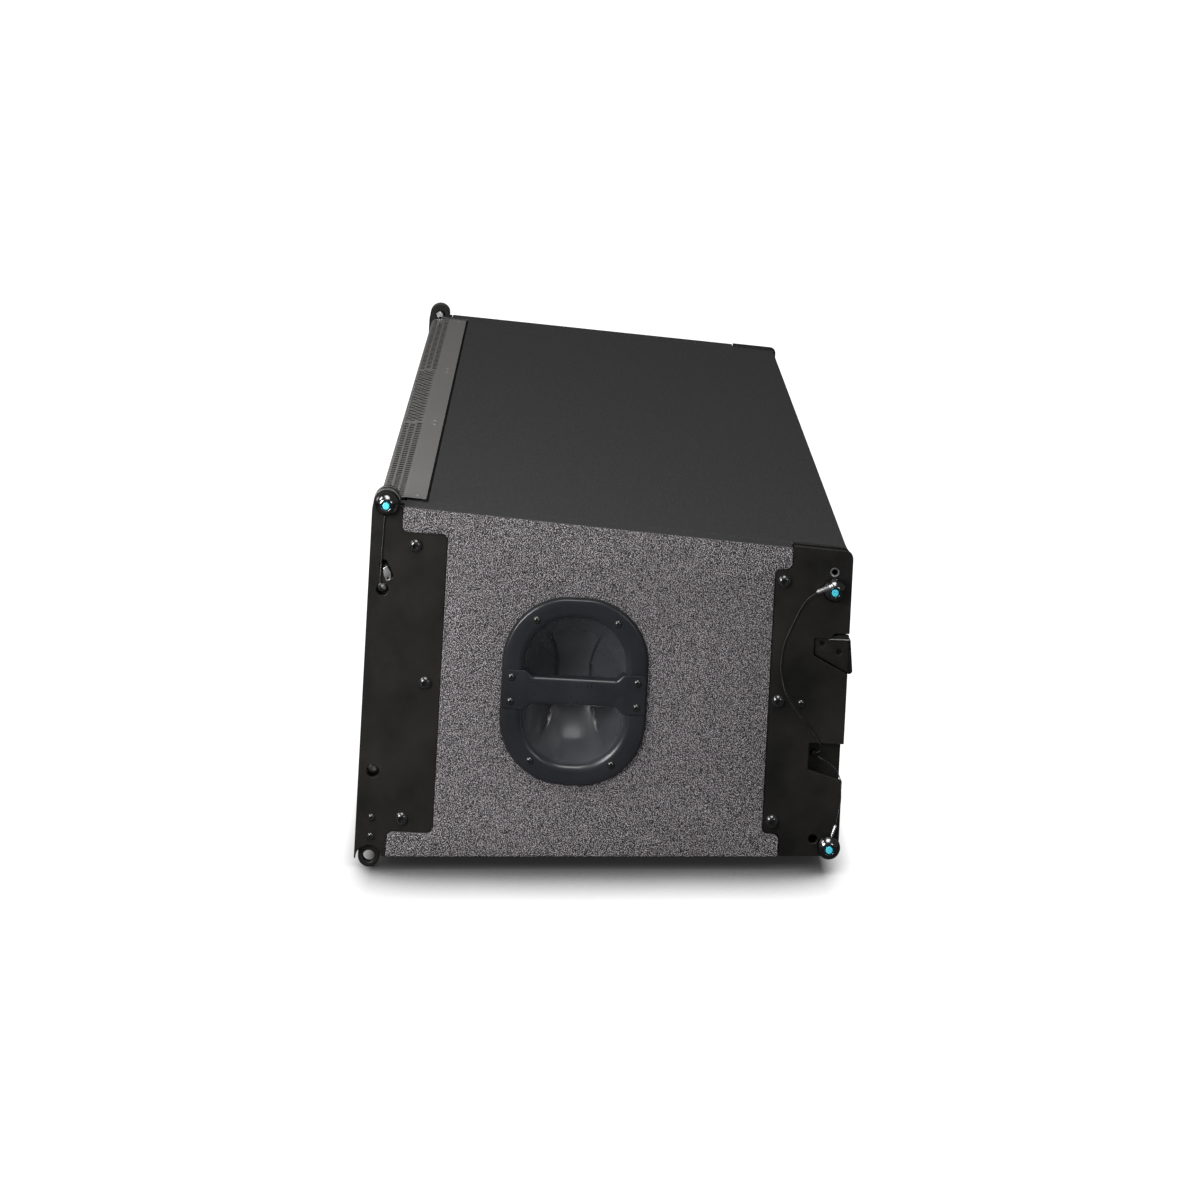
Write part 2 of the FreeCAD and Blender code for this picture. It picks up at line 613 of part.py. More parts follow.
def rear_arm():
    """The slotted arm that slides up out of the rear channel to set the splay angle."""
    body = new_body("rear_arm_right")
    points = [("arm_front", "arm_low"), ("arm_rear", "arm_low"),
              ("arm_rear", "tab_low + tab_rise"), ("tab_rear", "tab_low"),
              ("tab_rear - tab_lean", "tab_high"), ("arm_rear", "tab_high"),
              ("arm_rear", "arm_high"), ("arm_front", "arm_high")]
    pad(body, "YZ", TONGUE_BACK, "tongue_thick", [points])
    slot_low = "rear_top_z - arm_travel"
    slot = box_outline("link_y - arm_slot", "link_y + arm_slot", slot_low, "rear_top_z")
    face = f"{TONGUE_BACK} + tongue_thick"
    pocket(body, "YZ", face, "tongue_thick", [slot])
    for hole in (("link_y", slot_low, "arm_slot"), ("link_y", "rear_top_z", "arm_slot"),
                 ("link_y", "link_z", "link_radius")):
        pocket(body, "YZ", face, "tongue_thick", circles=[hole])
    corners = [("arm_front", "arm_low"), ("arm_rear", "arm_low"), ("arm_front", "arm_high"),
               ("arm_rear", "arm_high"), ("tab_rear", "tab_low"),
               ("tab_rear - tab_lean", "tab_high")]
    round_edges(body, "arm_round", along_x_at(corners))
    return body


def rigging_spacers():
    """Tubes round the bolts that keep each pair of plates a channel apart."""
    body = new_body("rigging_spacer")
    points = FRONT_BOLTS + REAR_BOLTS
    pad(body, "YZ", INNER_FACE, "channel", circles=[(y, z, "spacer_radius") for y, z in points])
    pocket(body, "YZ", PLATE_BACK, "channel", circles=[(y, z, "bolt_hole") for y, z in points])
    return both_sides(body, "rigging_spacers")


def plate_bolts():
    """Button-head bolts through both plates."""
    body = new_body("plate_bolt")
    points = FRONT_BOLTS + REAR_BOLTS
    pad(body, "YZ", PLATE_FACE, "bolt_head_high", circles=[(y, z, "bolt_head") for y, z in points])
    top = f"{PLATE_FACE} + bolt_head_high"
    round_edges(body, "bolt_head_high * 0.6", rim_at("x", top, "bolt_head"))
    pad(body, "YZ", INNER_BACK, SHANK, circles=[(y, z, "bolt_radius") for y, z in points])
    keys = [[(f"{y} + bolt_key * cos({60 * k})", f"{z} + bolt_key * sin({60 * k})")
             for k in range(6)] for y, z in points]
    pocket(body, "YZ", top, "bolt_key_deep", keys)
    return both_sides(body, "plate_bolts")


def rigging_screws():
    """The tongue screws, the lanyard anchors and the arm's stop screw."""
    body = new_body("rigging_screw")
    outer = TONGUE_SCREWS + [STOP_SCREW]
    heads = [(y, z, "screw_head") for y, z in outer]
    pad(body, "YZ", PLATE_FACE, "screw_head_high", circles=heads)
    pad(body, "YZ", INNER_BACK, SHANK, circles=[(y, z, "screw_radius") for y, z in outer])
    pad(body, "YZ", INNER_FACE, "anchor_high", circles=[(y, z, "screw_head") for y, z in ANCHORS])
    pad(body, "YZ", INNER_BACK, "plate_thick + shank_overlap",
        circles=[(y, z, "screw_radius") for y, z in ANCHORS])
    return both_sides(body, "rigging_screws")


def release_pin(name, y, z):
    """A quick-release pin with its domed head, and the button in the middle of the head."""
    pin = new_body(f"pin_{name}_right", PLATE_FACE, y, z)
    nose = "-(2 * plate_thick + channel + pin_nose)"
    profile = [(nose, "0"), (nose, "pin_radius - pin_chamfer"),
               (f"{nose} + pin_chamfer", "pin_radius"), ("pin_gap", "pin_radius"),
               ("pin_gap", "pin_neck_radius"), ("pin_neck", "pin_neck_radius"),
               ("pin_neck", "pin_head"), ("pin_head_high", "pin_head"),
               ("pin_head_high", "button_bore"), ("button_bore_floor", "button_bore"),
               ("button_bore_floor", "0")]
    revolve(pin, profile, "H_Axis")
    round_edges(pin, "pin_dome", rim_at("x", "pin_head_high", "pin_head"))
    button = new_body(f"button_{name}_right", PLATE_FACE, y, z)
    level = "pin_head_high + button_proud - button_long"
    pad(button, "YZ", level, "button_long", circles=[("0", "0", "button_radius")])
    round_edges(button, "button_round", rim_at("x", "pin_head_high + button_proud", "button_radius"))
    return pair(pin) + pair(button)


def wire(points):
    """A steel wire of the lanyards' size through points in the cabinet, with round bends.

    The balls at the bends are a little fatter than the wire, so that no two faces just touch."""
    spots = [Vector(*point) for point in points]
    radius = number("wire_radius")
    bend = radius * 1.08
    solid = Part.makeSphere(bend, spots[0])
    for start, end in zip(spots, spots[1:]):
        run = Part.makeCylinder(radius, (end - start).Length, start, end - start)
        solid = solid.fuse([run, Part.makeSphere(bend, end)])
    return solid.Solids[0]


def lanyards():
    """Wires that keep each pin with the cabinet; they run from an anchor to beside the head."""
    face = number(PLATE_FACE)
    level = face + number("wire_level")
    inside = face - number("plate_thick")
    high = level + number("wire_lift")
    low = number(f"{INNER_FACE} + anchor_high + wire_radius + wire_gap")
    head = number("wire_reach")
    y, z = number("lug_y"), number("lug_z")
    front = [(high, y - 2, z - head - 0.5), (level, 13, 150), (level, 13.5, 124),
             (inside, 15, 119), (low, ANCHORS[0][0] - 1, ANCHORS[0][1] + 2)]
    y, z = number("link_y"), number("rear_top_z")
    upper = [(high, y - head, z - 2), (level, 464, 112), (level, 450, 96),
             (level, 438.5, 77.7), (level, 432, 59.6), (level, 430, 39.4), (level, 432, 25.2),
             (level, 437, 12), (level, 449, -10.8), (level, 464, -25.9), (level, 474, -43.5),
             (inside, 473, -49), (low, ANCHORS[1][0] + 1, ANCHORS[1][1] + 2)]
    y, z = number("rear_low_y"), number("rear_low_z")
    lower = [(high, y + 4, -z + head), (level, 495.5, -118), (level, 494, -100),
             (level, 490, -84), (level, 487, -73), (inside, 480, -65),
             (low, ANCHORS[1][0] + 1, ANCHORS[1][1] - 2)]
    solids = [wire(points) for points in (front, upper, lower)]
    right = doc.addObject("Part::Feature", "lanyard_set")
    right.Shape = Part.makeCompound(solids)
    stand(right)
    return both_sides(right, "lanyards")


def rigging():
    pieces = pair(front_plate("front_plate_right", PLATE_BACK, "bolt_hole", True))
    pieces += pair(front_plate("front_inner_plate_right", INNER_BACK, "bolt_tapped", False))
    pieces += pair(rear_plate("rear_plate_right", PLATE_BACK, "rear_edge", "bolt_hole", True))
    pieces += pair(rear_plate("rear_inner_plate_right", INNER_BACK, "rear_inner_edge",
                              "bolt_tapped", False))
    pieces += pair(front_tongue()) + pair(rear_arm())
    for name, (y, z) in PINS.items():
        pieces += release_pin(name, y, z)
    return pieces + [rigging_spacers(), plate_bolts(), rigging_screws(), lanyards()]


# ---------------------------------------------------------------- handles

def handle_cup():
    """The recessed cup and its rim."""
    body = new_body("handle_cup_right", "0", "handle_y")
    pad(body, "YZ", "half_width", "rim_thick",
        rounded=[("rim_wide", "rim_long", "rim_radius")])
    pad(body, "YZ", "half_width - cup_deep", "cup_deep + shank_overlap",
        rounded=[("cup_wide", "cup_long", "cup_radius")])
    hollow = ("cup_wide - cup_wall", "cup_long - cup_wall", "cup_radius - cup_wall")
    pocket(body, "YZ", RIM_FACE, "cup_deep + rim_thick - cup_wall", rounded=[hollow])
    high = "(grip_end_half + grip_seat_gap)"
    seats = [box_outline(f"{y} - grip_seat_over", f"{y} + grip_end_long + grip_seat_over",
                         f"-{high}", high) for y in ("-rim_wide", "rim_wide - grip_end_long")]
    pocket(body, "YZ", RIM_FACE, "grip_end_thick", seats)
    screws = [(f"({y}) - handle_y", z, "screw_clear") for y, z in handle_screw_points()]
    pocket(body, "YZ", RIM_FACE, "rim_thick", circles=screws)
    return body


def handle_bar():
    """The grip across the cup, with an end plate let into the rim at each end."""
    body = new_body("handle_bar_right", "0", "handle_y")
    reach = "(cup_wide - cup_wall - grip_gap)"
    grip = box_outline(f"-{reach}", reach, "-grip_half", "grip_half")
    pad(body, "YZ", f"{RIM_FACE} - grip_thick", "grip_thick", [grip])

    def long_edge(edge):
        box = edge.BoundBox
        return box.YLength > number("cup_wide") and box.ZLength < 0.01

    round_edges(body, "grip_round", long_edge)
    for y in ("-rim_wide + grip_end_gap", "rim_wide - grip_end_long - grip_end_gap"):
        end = box_outline(y, f"{y} + grip_end_long", "-grip_end_half", "grip_end_half")
        pad(body, "YZ", f"{RIM_FACE} - grip_end_thick", "grip_end_thick", [end])
    screws = [(f"({y}) - handle_y", z, "screw_clear") for y, z in handle_screw_points()
              if "grip" in y]
    pocket(body, "YZ", RIM_FACE, "grip_end_thick", circles=screws)
    return body


def handle_screws():
    body = new_body("handle_screw")
    spots = handle_screw_points()
    pad(body, "YZ", RIM_FACE, "screw_head_high", circles=[(y, z, "screw_head") for y, z in spots])
    pad(body, "YZ", "half_width - handle_screw_long",
        "rim_thick + handle_screw_long + shank_overlap",
        circles=[(y, z, "screw_radius") for y, z in spots])
    return both_sides(body, "handle_screws")


# ---------------------------------------------------------------- drivers

def woofer_basket():
    body = new_body("woofer_basket_right", "woofer_x")
    lip = f"{FLANGE_FRONT} + basket_lip"
    floor = "basket_rear + basket_floor"
    revolve(body, [
        ("surround_outer - basket_lip_wide", FLANGE_FRONT), ("woofer_frame", FLANGE_FRONT),
        ("woofer_frame", "baffle_front"), ("woofer_hole - 1", "baffle_front"),
        ("basket_small", "basket_rear"), ("basket_small", floor), ("basket_hub", floor),
        ("basket_hub", "basket_rear"), ("basket_small - basket_wall", "basket_rear"),
        ("surround_outer", "baffle_front + 1"), ("surround_outer", lip),
        ("surround_outer - basket_lip_wide", lip)], "V_Axis")
    screws = [(f"woofer_screws * cos({22.5 + 45 * k})", f"woofer_screws * sin({22.5 + 45 * k})",
               "screw_clear") for k in range(8)]
    pocket(body, "XZ", "baffle_front", "frame_thick", circles=screws)
    return body


def woofer_cone():
    """The paper cone with its dust cap and the voice coil behind it."""
    body = new_body("woofer_cone_right", "woofer_x")
    rim = f"{FLANGE_FRONT} + cone_seat"
    neck = f"{rim} + cone_deep"
    coil = f"{neck} + coil_long"
    revolve(body, [
        ("0", f"{neck} - cap_high"), ("cap_radius", f"{neck} - cap_high + cap_thick"),
        ("cone_neck", neck), ("cone_radius - 1", rim), ("cone_radius", f"{rim} + cone_wall"),
        ("coil_radius", f"{neck} + 2"), ("coil_radius", coil), ("coil_radius - coil_wall", coil),
        ("coil_radius - coil_wall", f"{neck} + 3"), ("cap_radius - 1", f"{neck} - cap_high / 2"),
        ("0", f"{neck} - cap_high + cap_thick")], "V_Axis")
    return body


def woofer_surround():
    """The half-roll of rubber between the cone's edge and the basket."""
    body = new_body("woofer_surround_right", "woofer_x")
    rim = f"{FLANGE_FRONT} + cone_seat"
    top = f"{rim} - surround_high"
    edge = "cone_radius + surround_gap"
    outer = "surround_outer - surround_gap / 2"
    middle = "(cone_radius + surround_outer) / 2"
    flat = "(surround_flat - 0.6 * surround_thick)"
    revolve(body, [
        (edge, f"{rim} + surround_thick"), (edge, rim), (f"{middle} - surround_flat", top),
        (f"{middle} + surround_flat", top), (outer, rim), (outer, f"{rim} + surround_thick"),
        (f"{middle} + {flat}", f"{top} + surround_thick"),
        (f"{middle} - {flat}", f"{top} + surround_thick")], "V_Axis")
    return body


def woofer_magnets():
    body = new_body("woofer_magnet", "woofer_x")
    seat = "basket_rear + basket_floor + driver_gap"
    pad(body, "XZ", seat, "magnet_long", circles=[("0", "0", "magnet_radius")])
    return both_sides(body, "woofer_magnets")


def woofers():
    pieces = pair(woofer_basket()) + pair(woofer_cone()) + pair(woofer_surround())
    return pieces + [woofer_magnets()]


def horn_box(body, y, half_x, half_z):
    return new_sketch(body, "XZ", y, [box_outline(f"-({half_x})", half_x, f"-({half_z})", half_z)])


def hf_horn():
    """A flared horn on the baffle that leads two compression drivers into one mouth."""
    body = new_body("hf_horn")
    flange = box_outline("-horn_flange_x", "horn_flange_x", "-horn_flange_z", "horn_flange_z")
    rear = "baffle_front + horn_deep"
    pad(body, "XZ", FLANGE_FRONT, "frame_thick", [flange])
    outer = body.newObject("PartDesign::AdditiveLoft", "horn_outside")
    outer.Profile = horn_box(body, "baffle_front - 0.5", "horn_mouth_x", "horn_mouth_z")
    outer.Sections = [horn_box(body, rear, "horn_throat_x + throat_wall_x",
                                "horn_throat_z + throat_wall_z")]
    outer.Ruled = True
    body.Tip = outer
    inner = body.newObject("PartDesign::SubtractiveLoft", "horn_inside")
    inner.Profile = horn_box(body, f"{FLANGE_FRONT} - 1", "horn_mouth_x - horn_wall",
                             "horn_mouth_z - horn_wall")
    inner.Sections = [horn_box(body, f"{rear} + 1", "horn_throat_x", "horn_throat_z")]
    inner.Ruled = True
    body.Tip = inner
    holes = horn_screw_places("screw_clear")
    pocket(body, "XZ", "baffle_front", "frame_thick", circles=holes)
    return body


def compression_drivers():
    body = new_body("compression_driver")
    seat = "baffle_front + horn_deep + driver_gap"
    outline = [("compression_x", "0", "compression_radius")]
    pad(body, "XZ", seat, "compression_long", circles=outline)
    rim = rim_at("y", f"{seat} + compression_long", "compression_radius")
    round_edges(body, "compression_round", rim)
    return both_sides(body, "compression_drivers")


def driver_screws():
    body = new_body("driver_screws")
    for radius, start, long in (
            ("screw_head", f"{FLANGE_FRONT} - driver_screw_high", "driver_screw_high"),
            ("screw_radius", FLANGE_FRONT, "driver_screw_long")):
        spots = woofer_places("woofer_screws", radius) + horn_screw_places(radius)
        pad(body, "XZ", start, long, circles=spots)
    return body


# ---------------------------------------------------------------- electrics and damping

def crossover_board():
    """The passive filter: a board on the back panel with coils and capacitors."""
    body = new_body("crossover_board")
    face = "wood_rear - panel_thick - board_thick"
    board = box_outline("-board_half", "board_half", "board_low", "board_high")
    pad(body, "XZ", face, "board_thick", [board])
    middle = "(board_low + board_high) / 2"
    coils = [("-62", middle, "24"), ("0", middle, "20"), ("52", f"{middle} + 24", "9"),
             ("76", f"{middle} + 24", "9"), ("52", f"{middle} - 24", "9")]
    pad(body, "XZ", f"{face} - coil_high", "coil_high + shank_overlap", circles=coils)
    return body


def input_panel():
    body = new_body("input_panel")
    plate = box_outline("-input_half", "input_half", "input_low", "input_high")
    pad(body, "XZ", "wood_rear - input_thick", "input_thick", [plate])
    holes = [(f"{side}socket_x", "socket_z", "socket_radius + socket_gap") for side in ("-", "")]
    pocket(body, "XZ", "wood_rear", "input_thick", circles=holes)
    return body


def connector_sockets():
    body = new_body("connector_sockets")
    spots = [(f"{side}socket_x", "socket_z") for side in ("-", "")]
    pad(body, "XZ", "wood_rear", "socket_flange_thick",
        circles=[(x, z, "socket_flange") for x, z in spots])
    pad(body, "XZ", "wood_rear - socket_long", "socket_long + shank_overlap",
        circles=[(x, z, "socket_radius") for x, z in spots])
    pocket(body, "XZ", "wood_rear + socket_flange_thick", "socket_bore_deep",
           circles=[(x, z, "socket_bore") for x, z in spots])
    return body


def damping_foam():
    """Absorbent slabs in the two woofer chambers."""
    body = new_body("damping_slab")
    rear = "wood_rear - panel_thick - 0.5"
    outline = box_outline(f"{rear} - damping_thick", rear, "-damping_half", "damping_half")
    pad(body, "YZ", "divider_inner + divider_thick + damping_gap", "damping_long", [outline])
    return both_sides(body, "damping_foam")


# ---------------------------------------------------------------- build, check and write

def check(pieces):
    """Stop if a feature failed, a cut removed nothing, or a piece has no valid solid."""
    for item in doc.Objects:
        if "Invalid" in item.State or "Error" in item.State:
            raise RuntimeError(f"{item.Label} failed: {item.State}")
        if item.TypeId == "PartDesign::Pocket":
            if item.BaseFeature.Shape.Volume - item.Shape.Volume < 1:
                raise RuntimeError(f"{item.Label} cuts nothing")
    for piece in pieces:
        shape = piece.Shape
        if shape.isNull() or not shape.isValid() or not shape.Solids:
            raise RuntimeError(f"{piece.Label} has no valid solid")


def main():
    pieces = cabinet() + grille() + rigging()
    pieces += pair(handle_cup()) + pair(handle_bar()) + [handle_screws()]
    pieces += woofers() + [hf_horn(), compression_drivers(), driver_screws()]
    pieces += [crossover_board(), input_panel(), connector_sockets(), damping_foam()]
    doc.recompute()
    check(pieces)
    os.makedirs("parts", exist_ok=True)
    for piece in pieces:
        piece.Shape.exportStep(f"parts/{piece.Label}.step")
    print(len(pieces), "pieces")


main()
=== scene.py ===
import json
import math

import bmesh
import bpy
from mathutils import Matrix, Vector, geometry, noise


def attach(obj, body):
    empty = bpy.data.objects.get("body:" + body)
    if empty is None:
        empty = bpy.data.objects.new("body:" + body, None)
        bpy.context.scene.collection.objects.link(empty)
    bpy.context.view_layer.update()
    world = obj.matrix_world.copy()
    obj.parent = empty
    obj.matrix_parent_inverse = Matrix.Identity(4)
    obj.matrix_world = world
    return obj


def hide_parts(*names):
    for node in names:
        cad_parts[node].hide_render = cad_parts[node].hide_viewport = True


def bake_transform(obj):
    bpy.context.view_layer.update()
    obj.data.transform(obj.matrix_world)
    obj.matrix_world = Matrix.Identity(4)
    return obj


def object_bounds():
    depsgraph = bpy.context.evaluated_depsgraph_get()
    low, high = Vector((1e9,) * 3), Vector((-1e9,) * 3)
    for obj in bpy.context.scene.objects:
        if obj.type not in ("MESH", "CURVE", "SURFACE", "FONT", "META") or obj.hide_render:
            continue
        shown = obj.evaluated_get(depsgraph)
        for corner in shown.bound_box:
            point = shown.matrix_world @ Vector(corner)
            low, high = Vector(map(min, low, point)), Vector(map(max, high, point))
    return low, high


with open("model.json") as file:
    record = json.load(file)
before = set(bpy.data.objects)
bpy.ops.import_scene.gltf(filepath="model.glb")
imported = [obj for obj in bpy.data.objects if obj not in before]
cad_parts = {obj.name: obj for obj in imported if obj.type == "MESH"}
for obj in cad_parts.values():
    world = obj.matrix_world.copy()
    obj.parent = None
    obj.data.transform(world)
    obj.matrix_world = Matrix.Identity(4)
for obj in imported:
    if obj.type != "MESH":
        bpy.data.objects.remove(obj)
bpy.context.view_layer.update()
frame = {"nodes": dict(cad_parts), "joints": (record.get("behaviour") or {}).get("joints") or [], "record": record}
MM = 0.001
ROOT = "cabinet"

# ---------------------------------------------------------------- sizes, in mm
# Cabinet coordinates, as in the CAD: X across, Y back from the plates' front edge, Z up from the
# cabinet's mid-plane. The taper and the way the cabinet stands are read from the frame.
HALF_HEIGHT = 182.5
SIDE_FACE, SIDE_BACK, POCKET_FLOOR = 565.0, 538.0, 545.0
WOOD_FRONT, WOOD_REAR = 14.0, 494.0
PANEL_THICK, LID_FRONT, RABBET_FRONT, RABBET_DEEP = 18.0, 56.5, 34.0, 2.2
PLATE_FACE, PLATE_BACK, INNER_FACE, INNER_BACK = 563.5, 558.5, 550.0, 545.0
ARM_BACK, ARM_FACE = INNER_FACE + 0.25, PLATE_BACK - 0.25
FRONT_NECK, FRONT_WIDE, FRONT_STEP = 32.0, 79.5, 154.0
REAR_NECK, REAR_WIDE, REAR_STEP = 437.0, 419.5, 136.0
LUG = (15.0, 183.5)
PINS = {"front": LUG, "rear_top": (480.5, 118.5), "rear_bottom": (488.0, -145.6)}
LINK_HOLE, INDEX_HIGH = (480.5, 135.9), 94.0
# Radii of the holes for the pins, the link, the screws and the bolts in each plate.
PIN_HOLE, LINK_RADIUS, SCREW_HOLE, OUTER_BOLT, INNER_BOLT = 6.08, 4.1, 2.05, 4.2, 4.05
FRONT_BOLTS = [(47, 141), (64, 0), (47, -141)]
REAR_BOLTS = [(429, 124), (429, 0), (429, -124)]
TONGUE_SCREWS = [(16, -141.6), (16, -161)]
ANCHOR_SLOT = [(15, 120.5), (21, 108.5)]
FRONT_ANCHOR, REAR_ANCHOR, STOP_SCREW = (18.5, 113.5), (470, -55), (453, -1)
HANDLE_Y, RIM_FACE = 218.0, 570.0
RIM_WIDE, RIM_LONG, RIM_RADIUS = 74.0, 95.5, 66.0
GRILLE_HALF, CENTRE_HALF, GRILLE_FRONT, GRILLE_BEND = 525.0, 156.0, 4.5, 33.0
INPUT_HALF, INPUT_LOW, INPUT_HIGH = 90.0, -105.0, -25.0
SOCKETS, SOCKET_HIGH, WOOFER_X = (-40, 40), -65.0, 341.0
SIDES = {"right": 1, "left": -1}


LIFT_JOINT = [j for j in frame["joints"] if j["name"] == "rear_arm_right_lift"][0]
LIFT = LIFT_JOINT["range_m"][1] / MM


def read_stand():
    """The taper, and the matrix that takes cabinet coordinates in mm to the row frame."""
    taper = math.atan2(LIFT_JOINT["axis"][1], LIFT_JOINT["axis"][2])
    bore = [m for m in frame["record"]["mounts"] if m["name"] == "front_tongue_right_bore"][0]
    tilt = Matrix.Rotation(-taper, 4, "X") @ Matrix.Scale(MM, 4)
    middle = (PLATE_BACK + INNER_FACE) / 2
    place = Vector(bore["pos_m"]) - tilt @ Vector((middle, LUG[0], -LUG[1]))
    return taper, Matrix.Translation(place) @ tilt


TAPER, STAND = read_stand()
LID = PANEL_THICK / math.cos(TAPER)


def roof(y, inset=0.0):
    """Height of the tapered top plane at depth y, less an inset, in mm."""
    return HALF_HEIGHT - y * math.tan(TAPER) - inset


# Half the height of the grille's face, where the sheet folds back.
FACE_HIGH = roof(2 * GRILLE_BEND - GRILLE_FRONT)


# ---------------------------------------------------------------- materials

class Nodes:
    """A material's node tree with short ways to add and join nodes."""

    def __init__(self, name):
        self.material = bpy.data.materials.new(name)
        self.material.use_nodes = True
        self.tree = self.material.node_tree
        self.shader = self.tree.nodes["Principled BSDF"]
        self.place = self.add("ShaderNodeTexCoord").outputs["Object"]

    def add(self, kind, **values):
        node = self.tree.nodes.new(kind)
        for key, value in values.items():
            if hasattr(node, key):
                setattr(node, key, value)
            else:
                node.inputs[key.replace("_", " ")].default_value = value
        return node

    def join(self, output, socket):
        self.tree.links.new(output, socket)

    def stretch(self, scale):
        node = self.add("ShaderNodeMapping")
        node.inputs["Scale"].default_value = scale
        self.join(self.place, node.inputs["Vector"])
        return node.outputs["Vector"]

    def noise(self, scale, detail=3.0, roughness=0.5, vector=None):
        node = self.add("ShaderNodeTexNoise", Scale=scale, Detail=detail, Roughness=roughness)
        self.join(vector or self.place, node.inputs["Vector"])
        return node.outputs["Fac"]

    def cells(self, scale):
        node = self.add("ShaderNodeTexVoronoi", Scale=scale)
        self.join(self.place, node.inputs["Vector"])
        return node.outputs["Distance"]

    def ramp(self, value, stops):
        node = self.add("ShaderNodeValToRGB")
        points = node.color_ramp.elements
        while len(points) < len(stops):
            points.new(0.5)
        for point, (at, colour) in zip(points, stops):
            point.position = at
            point.color = (*colour, 1)
        self.join(value, node.inputs["Fac"])
        return node.outputs["Color"]

    def span(self, value, low, high, out_low, out_high):
        node = self.add("ShaderNodeMapRange")
        for key, number in (("From Min", low), ("From Max", high),
                            ("To Min", out_low), ("To Max", out_high)):
            node.inputs[key].default_value = number
        self.join(value, node.inputs["Value"])
        return node.outputs["Result"]

    def mix(self, share, first, second):
        """From one colour to another; the second may be a plain colour."""
        node = self.add("ShaderNodeMix", data_type="RGBA")
        self.join(share, node.inputs["Factor"])
        self.join(first, node.inputs["A"])
        if isinstance(second, tuple):
            node.inputs["B"].default_value = (*second, 1)
        else:
            self.join(second, node.inputs["B"])
        return node.outputs["Result"]

    def part(self, source, axis):
        """One axis of the surface's Normal or Position."""
        node = self.add("ShaderNodeSeparateXYZ")
        self.join(self.add("ShaderNodeNewGeometry").outputs[source], node.inputs[0])
        return node.outputs[axis]

    def distance(self, axis):
        """How far the surface is from the middle of the scene along an axis."""
        node = self.add("ShaderNodeMath", operation="ABSOLUTE")
        self.join(self.part("Position", axis), node.inputs[0])
        return node.outputs["Value"]

    def bump(self, height, distance, strength=1.0):
        node = self.add("ShaderNodeBump", Distance=distance)
        self.join(height, node.inputs["Height"])
        if isinstance(strength, float):
            node.inputs["Strength"].default_value = strength
        else:
            self.join(strength, node.inputs["Strength"])
        return node.outputs["Normal"]

    def finish(self, colour=None, rough=None, normal=None, **values):
        for output, name in ((colour, "Base Color"), (rough, "Roughness"), (normal, "Normal")):
            if output is not None:
                self.join(output, self.shader.inputs[name])
        for key, value in values.items():
            self.shader.inputs[key.replace("_", " ")].default_value = value
        return self.material


def grey(value, warm=0.0):
    return (value * (1 + warm), value, value * (1 - warm))


def pale_edges(nodes, amount):
    """Brighter paint on outside edges, from the shape's pointiness, broken up by noise."""
    shape = nodes.add("ShaderNodeNewGeometry").outputs["Pointiness"]
    edge = nodes.span(shape, 0.52, 0.62, 0.0, 1.0)
    broken = nodes.add("ShaderNodeMath", operation="MULTIPLY")
    nodes.join(edge, broken.inputs[0])
    nodes.join(nodes.span(nodes.noise(90, 4), 0.4, 0.65, 0.0, amount), broken.inputs[1])
    return broken.outputs["Value"]


def textured_paint(name, base, bright, top=0.031):
    """Hard sprayed paint with grains about 2 mm across, coloured almost black in the pits and pale on the tops:
    painted shade and painted highlight.

    Faces that look up get weaker bumps and the lower, uniform colour called top: painted shade, as they get less
    light than the side."""
    nodes = Nodes(name)
    height = nodes.noise(1080, 0)
    # Painted shade and painted highlight: the grain's colour follows its bump height, almost black in the pits and
    # pale on the tops.
    grain_shade_and_highlight = nodes.ramp(height, [(0.39, grey(base * 0.03, 0.02)), (0.48, grey(base * 0.3, 0.02)),
                               (0.55, (base * 2.0, base * 1.86, base * 1.95)),
                               (0.66, (bright, bright * 0.93, bright * 0.97))])
    # Painted shade: faces that look up blend to the lower, uniform colour set by top, as they get less light than
    # the side.
    painted_top_shade = nodes.ramp(height, [(0.5, grey(top * 0.75)), (0.8, grey(top * 1.25))])
    facing = nodes.part("Normal", "Z")
    top_shade_share = nodes.span(facing, 0.35, 0.8, 0.0, 1.0)
    rough = nodes.span(nodes.noise(200, 2), 0.3, 0.7, 0.52, 0.68)
    normal = nodes.bump(height, 0.0014, nodes.span(facing, 0.35, 0.8, 1.0, 0.3))
    return nodes.finish(nodes.mix(top_shade_share, grain_shade_and_highlight, painted_top_shade), rough, normal, Specular_IOR_Level=0.5)


def powder_coat(name, base, rough_low, rough_high, pebble=0.00012, warm=0.03, sheen=0.5,
                cloud=0.22, pale_edge_amount=0.5):
    """Satin powder coat on steel: fine orange peel, faint cloudy patches and paler outside edges."""
    nodes = Nodes(name)
    colour = nodes.ramp(nodes.noise(14, 5, 0.6), [(0.3, grey(base * (1 - cloud), warm)),
                                                  (0.7, grey(base * (1 + cloud), warm))])
    # Outside edges are mixed towards a paler grey.
    colour = nodes.mix(pale_edges(nodes, pale_edge_amount), colour, grey(base * 4 + 0.02))
    rough = nodes.span(nodes.noise(40, 6, 0.7), 0.3, 0.7, rough_low, rough_high)
    normal = nodes.bump(nodes.noise(1500, 2), pebble, 0.8)
    return nodes.finish(colour, rough, normal, Specular_IOR_Level=sheen)


def bare_metal(name, base, rough_low, rough_high, stretch=(1, 1, 1)):
    """Plated or bare steel with fine directional polish marks."""
    nodes = Nodes(name)
    marks = nodes.noise(900, 4, 0.6, nodes.stretch(stretch))
    colour = nodes.ramp(nodes.noise(70, 4), [(0.3, grey(base * 0.8)), (0.7, grey(base * 1.1))])
    rough = nodes.span(marks, 0.3, 0.7, rough_low, rough_high)
    return nodes.finish(colour, rough, nodes.bump(marks, 0.00002, 0.5), Metallic=1.0)


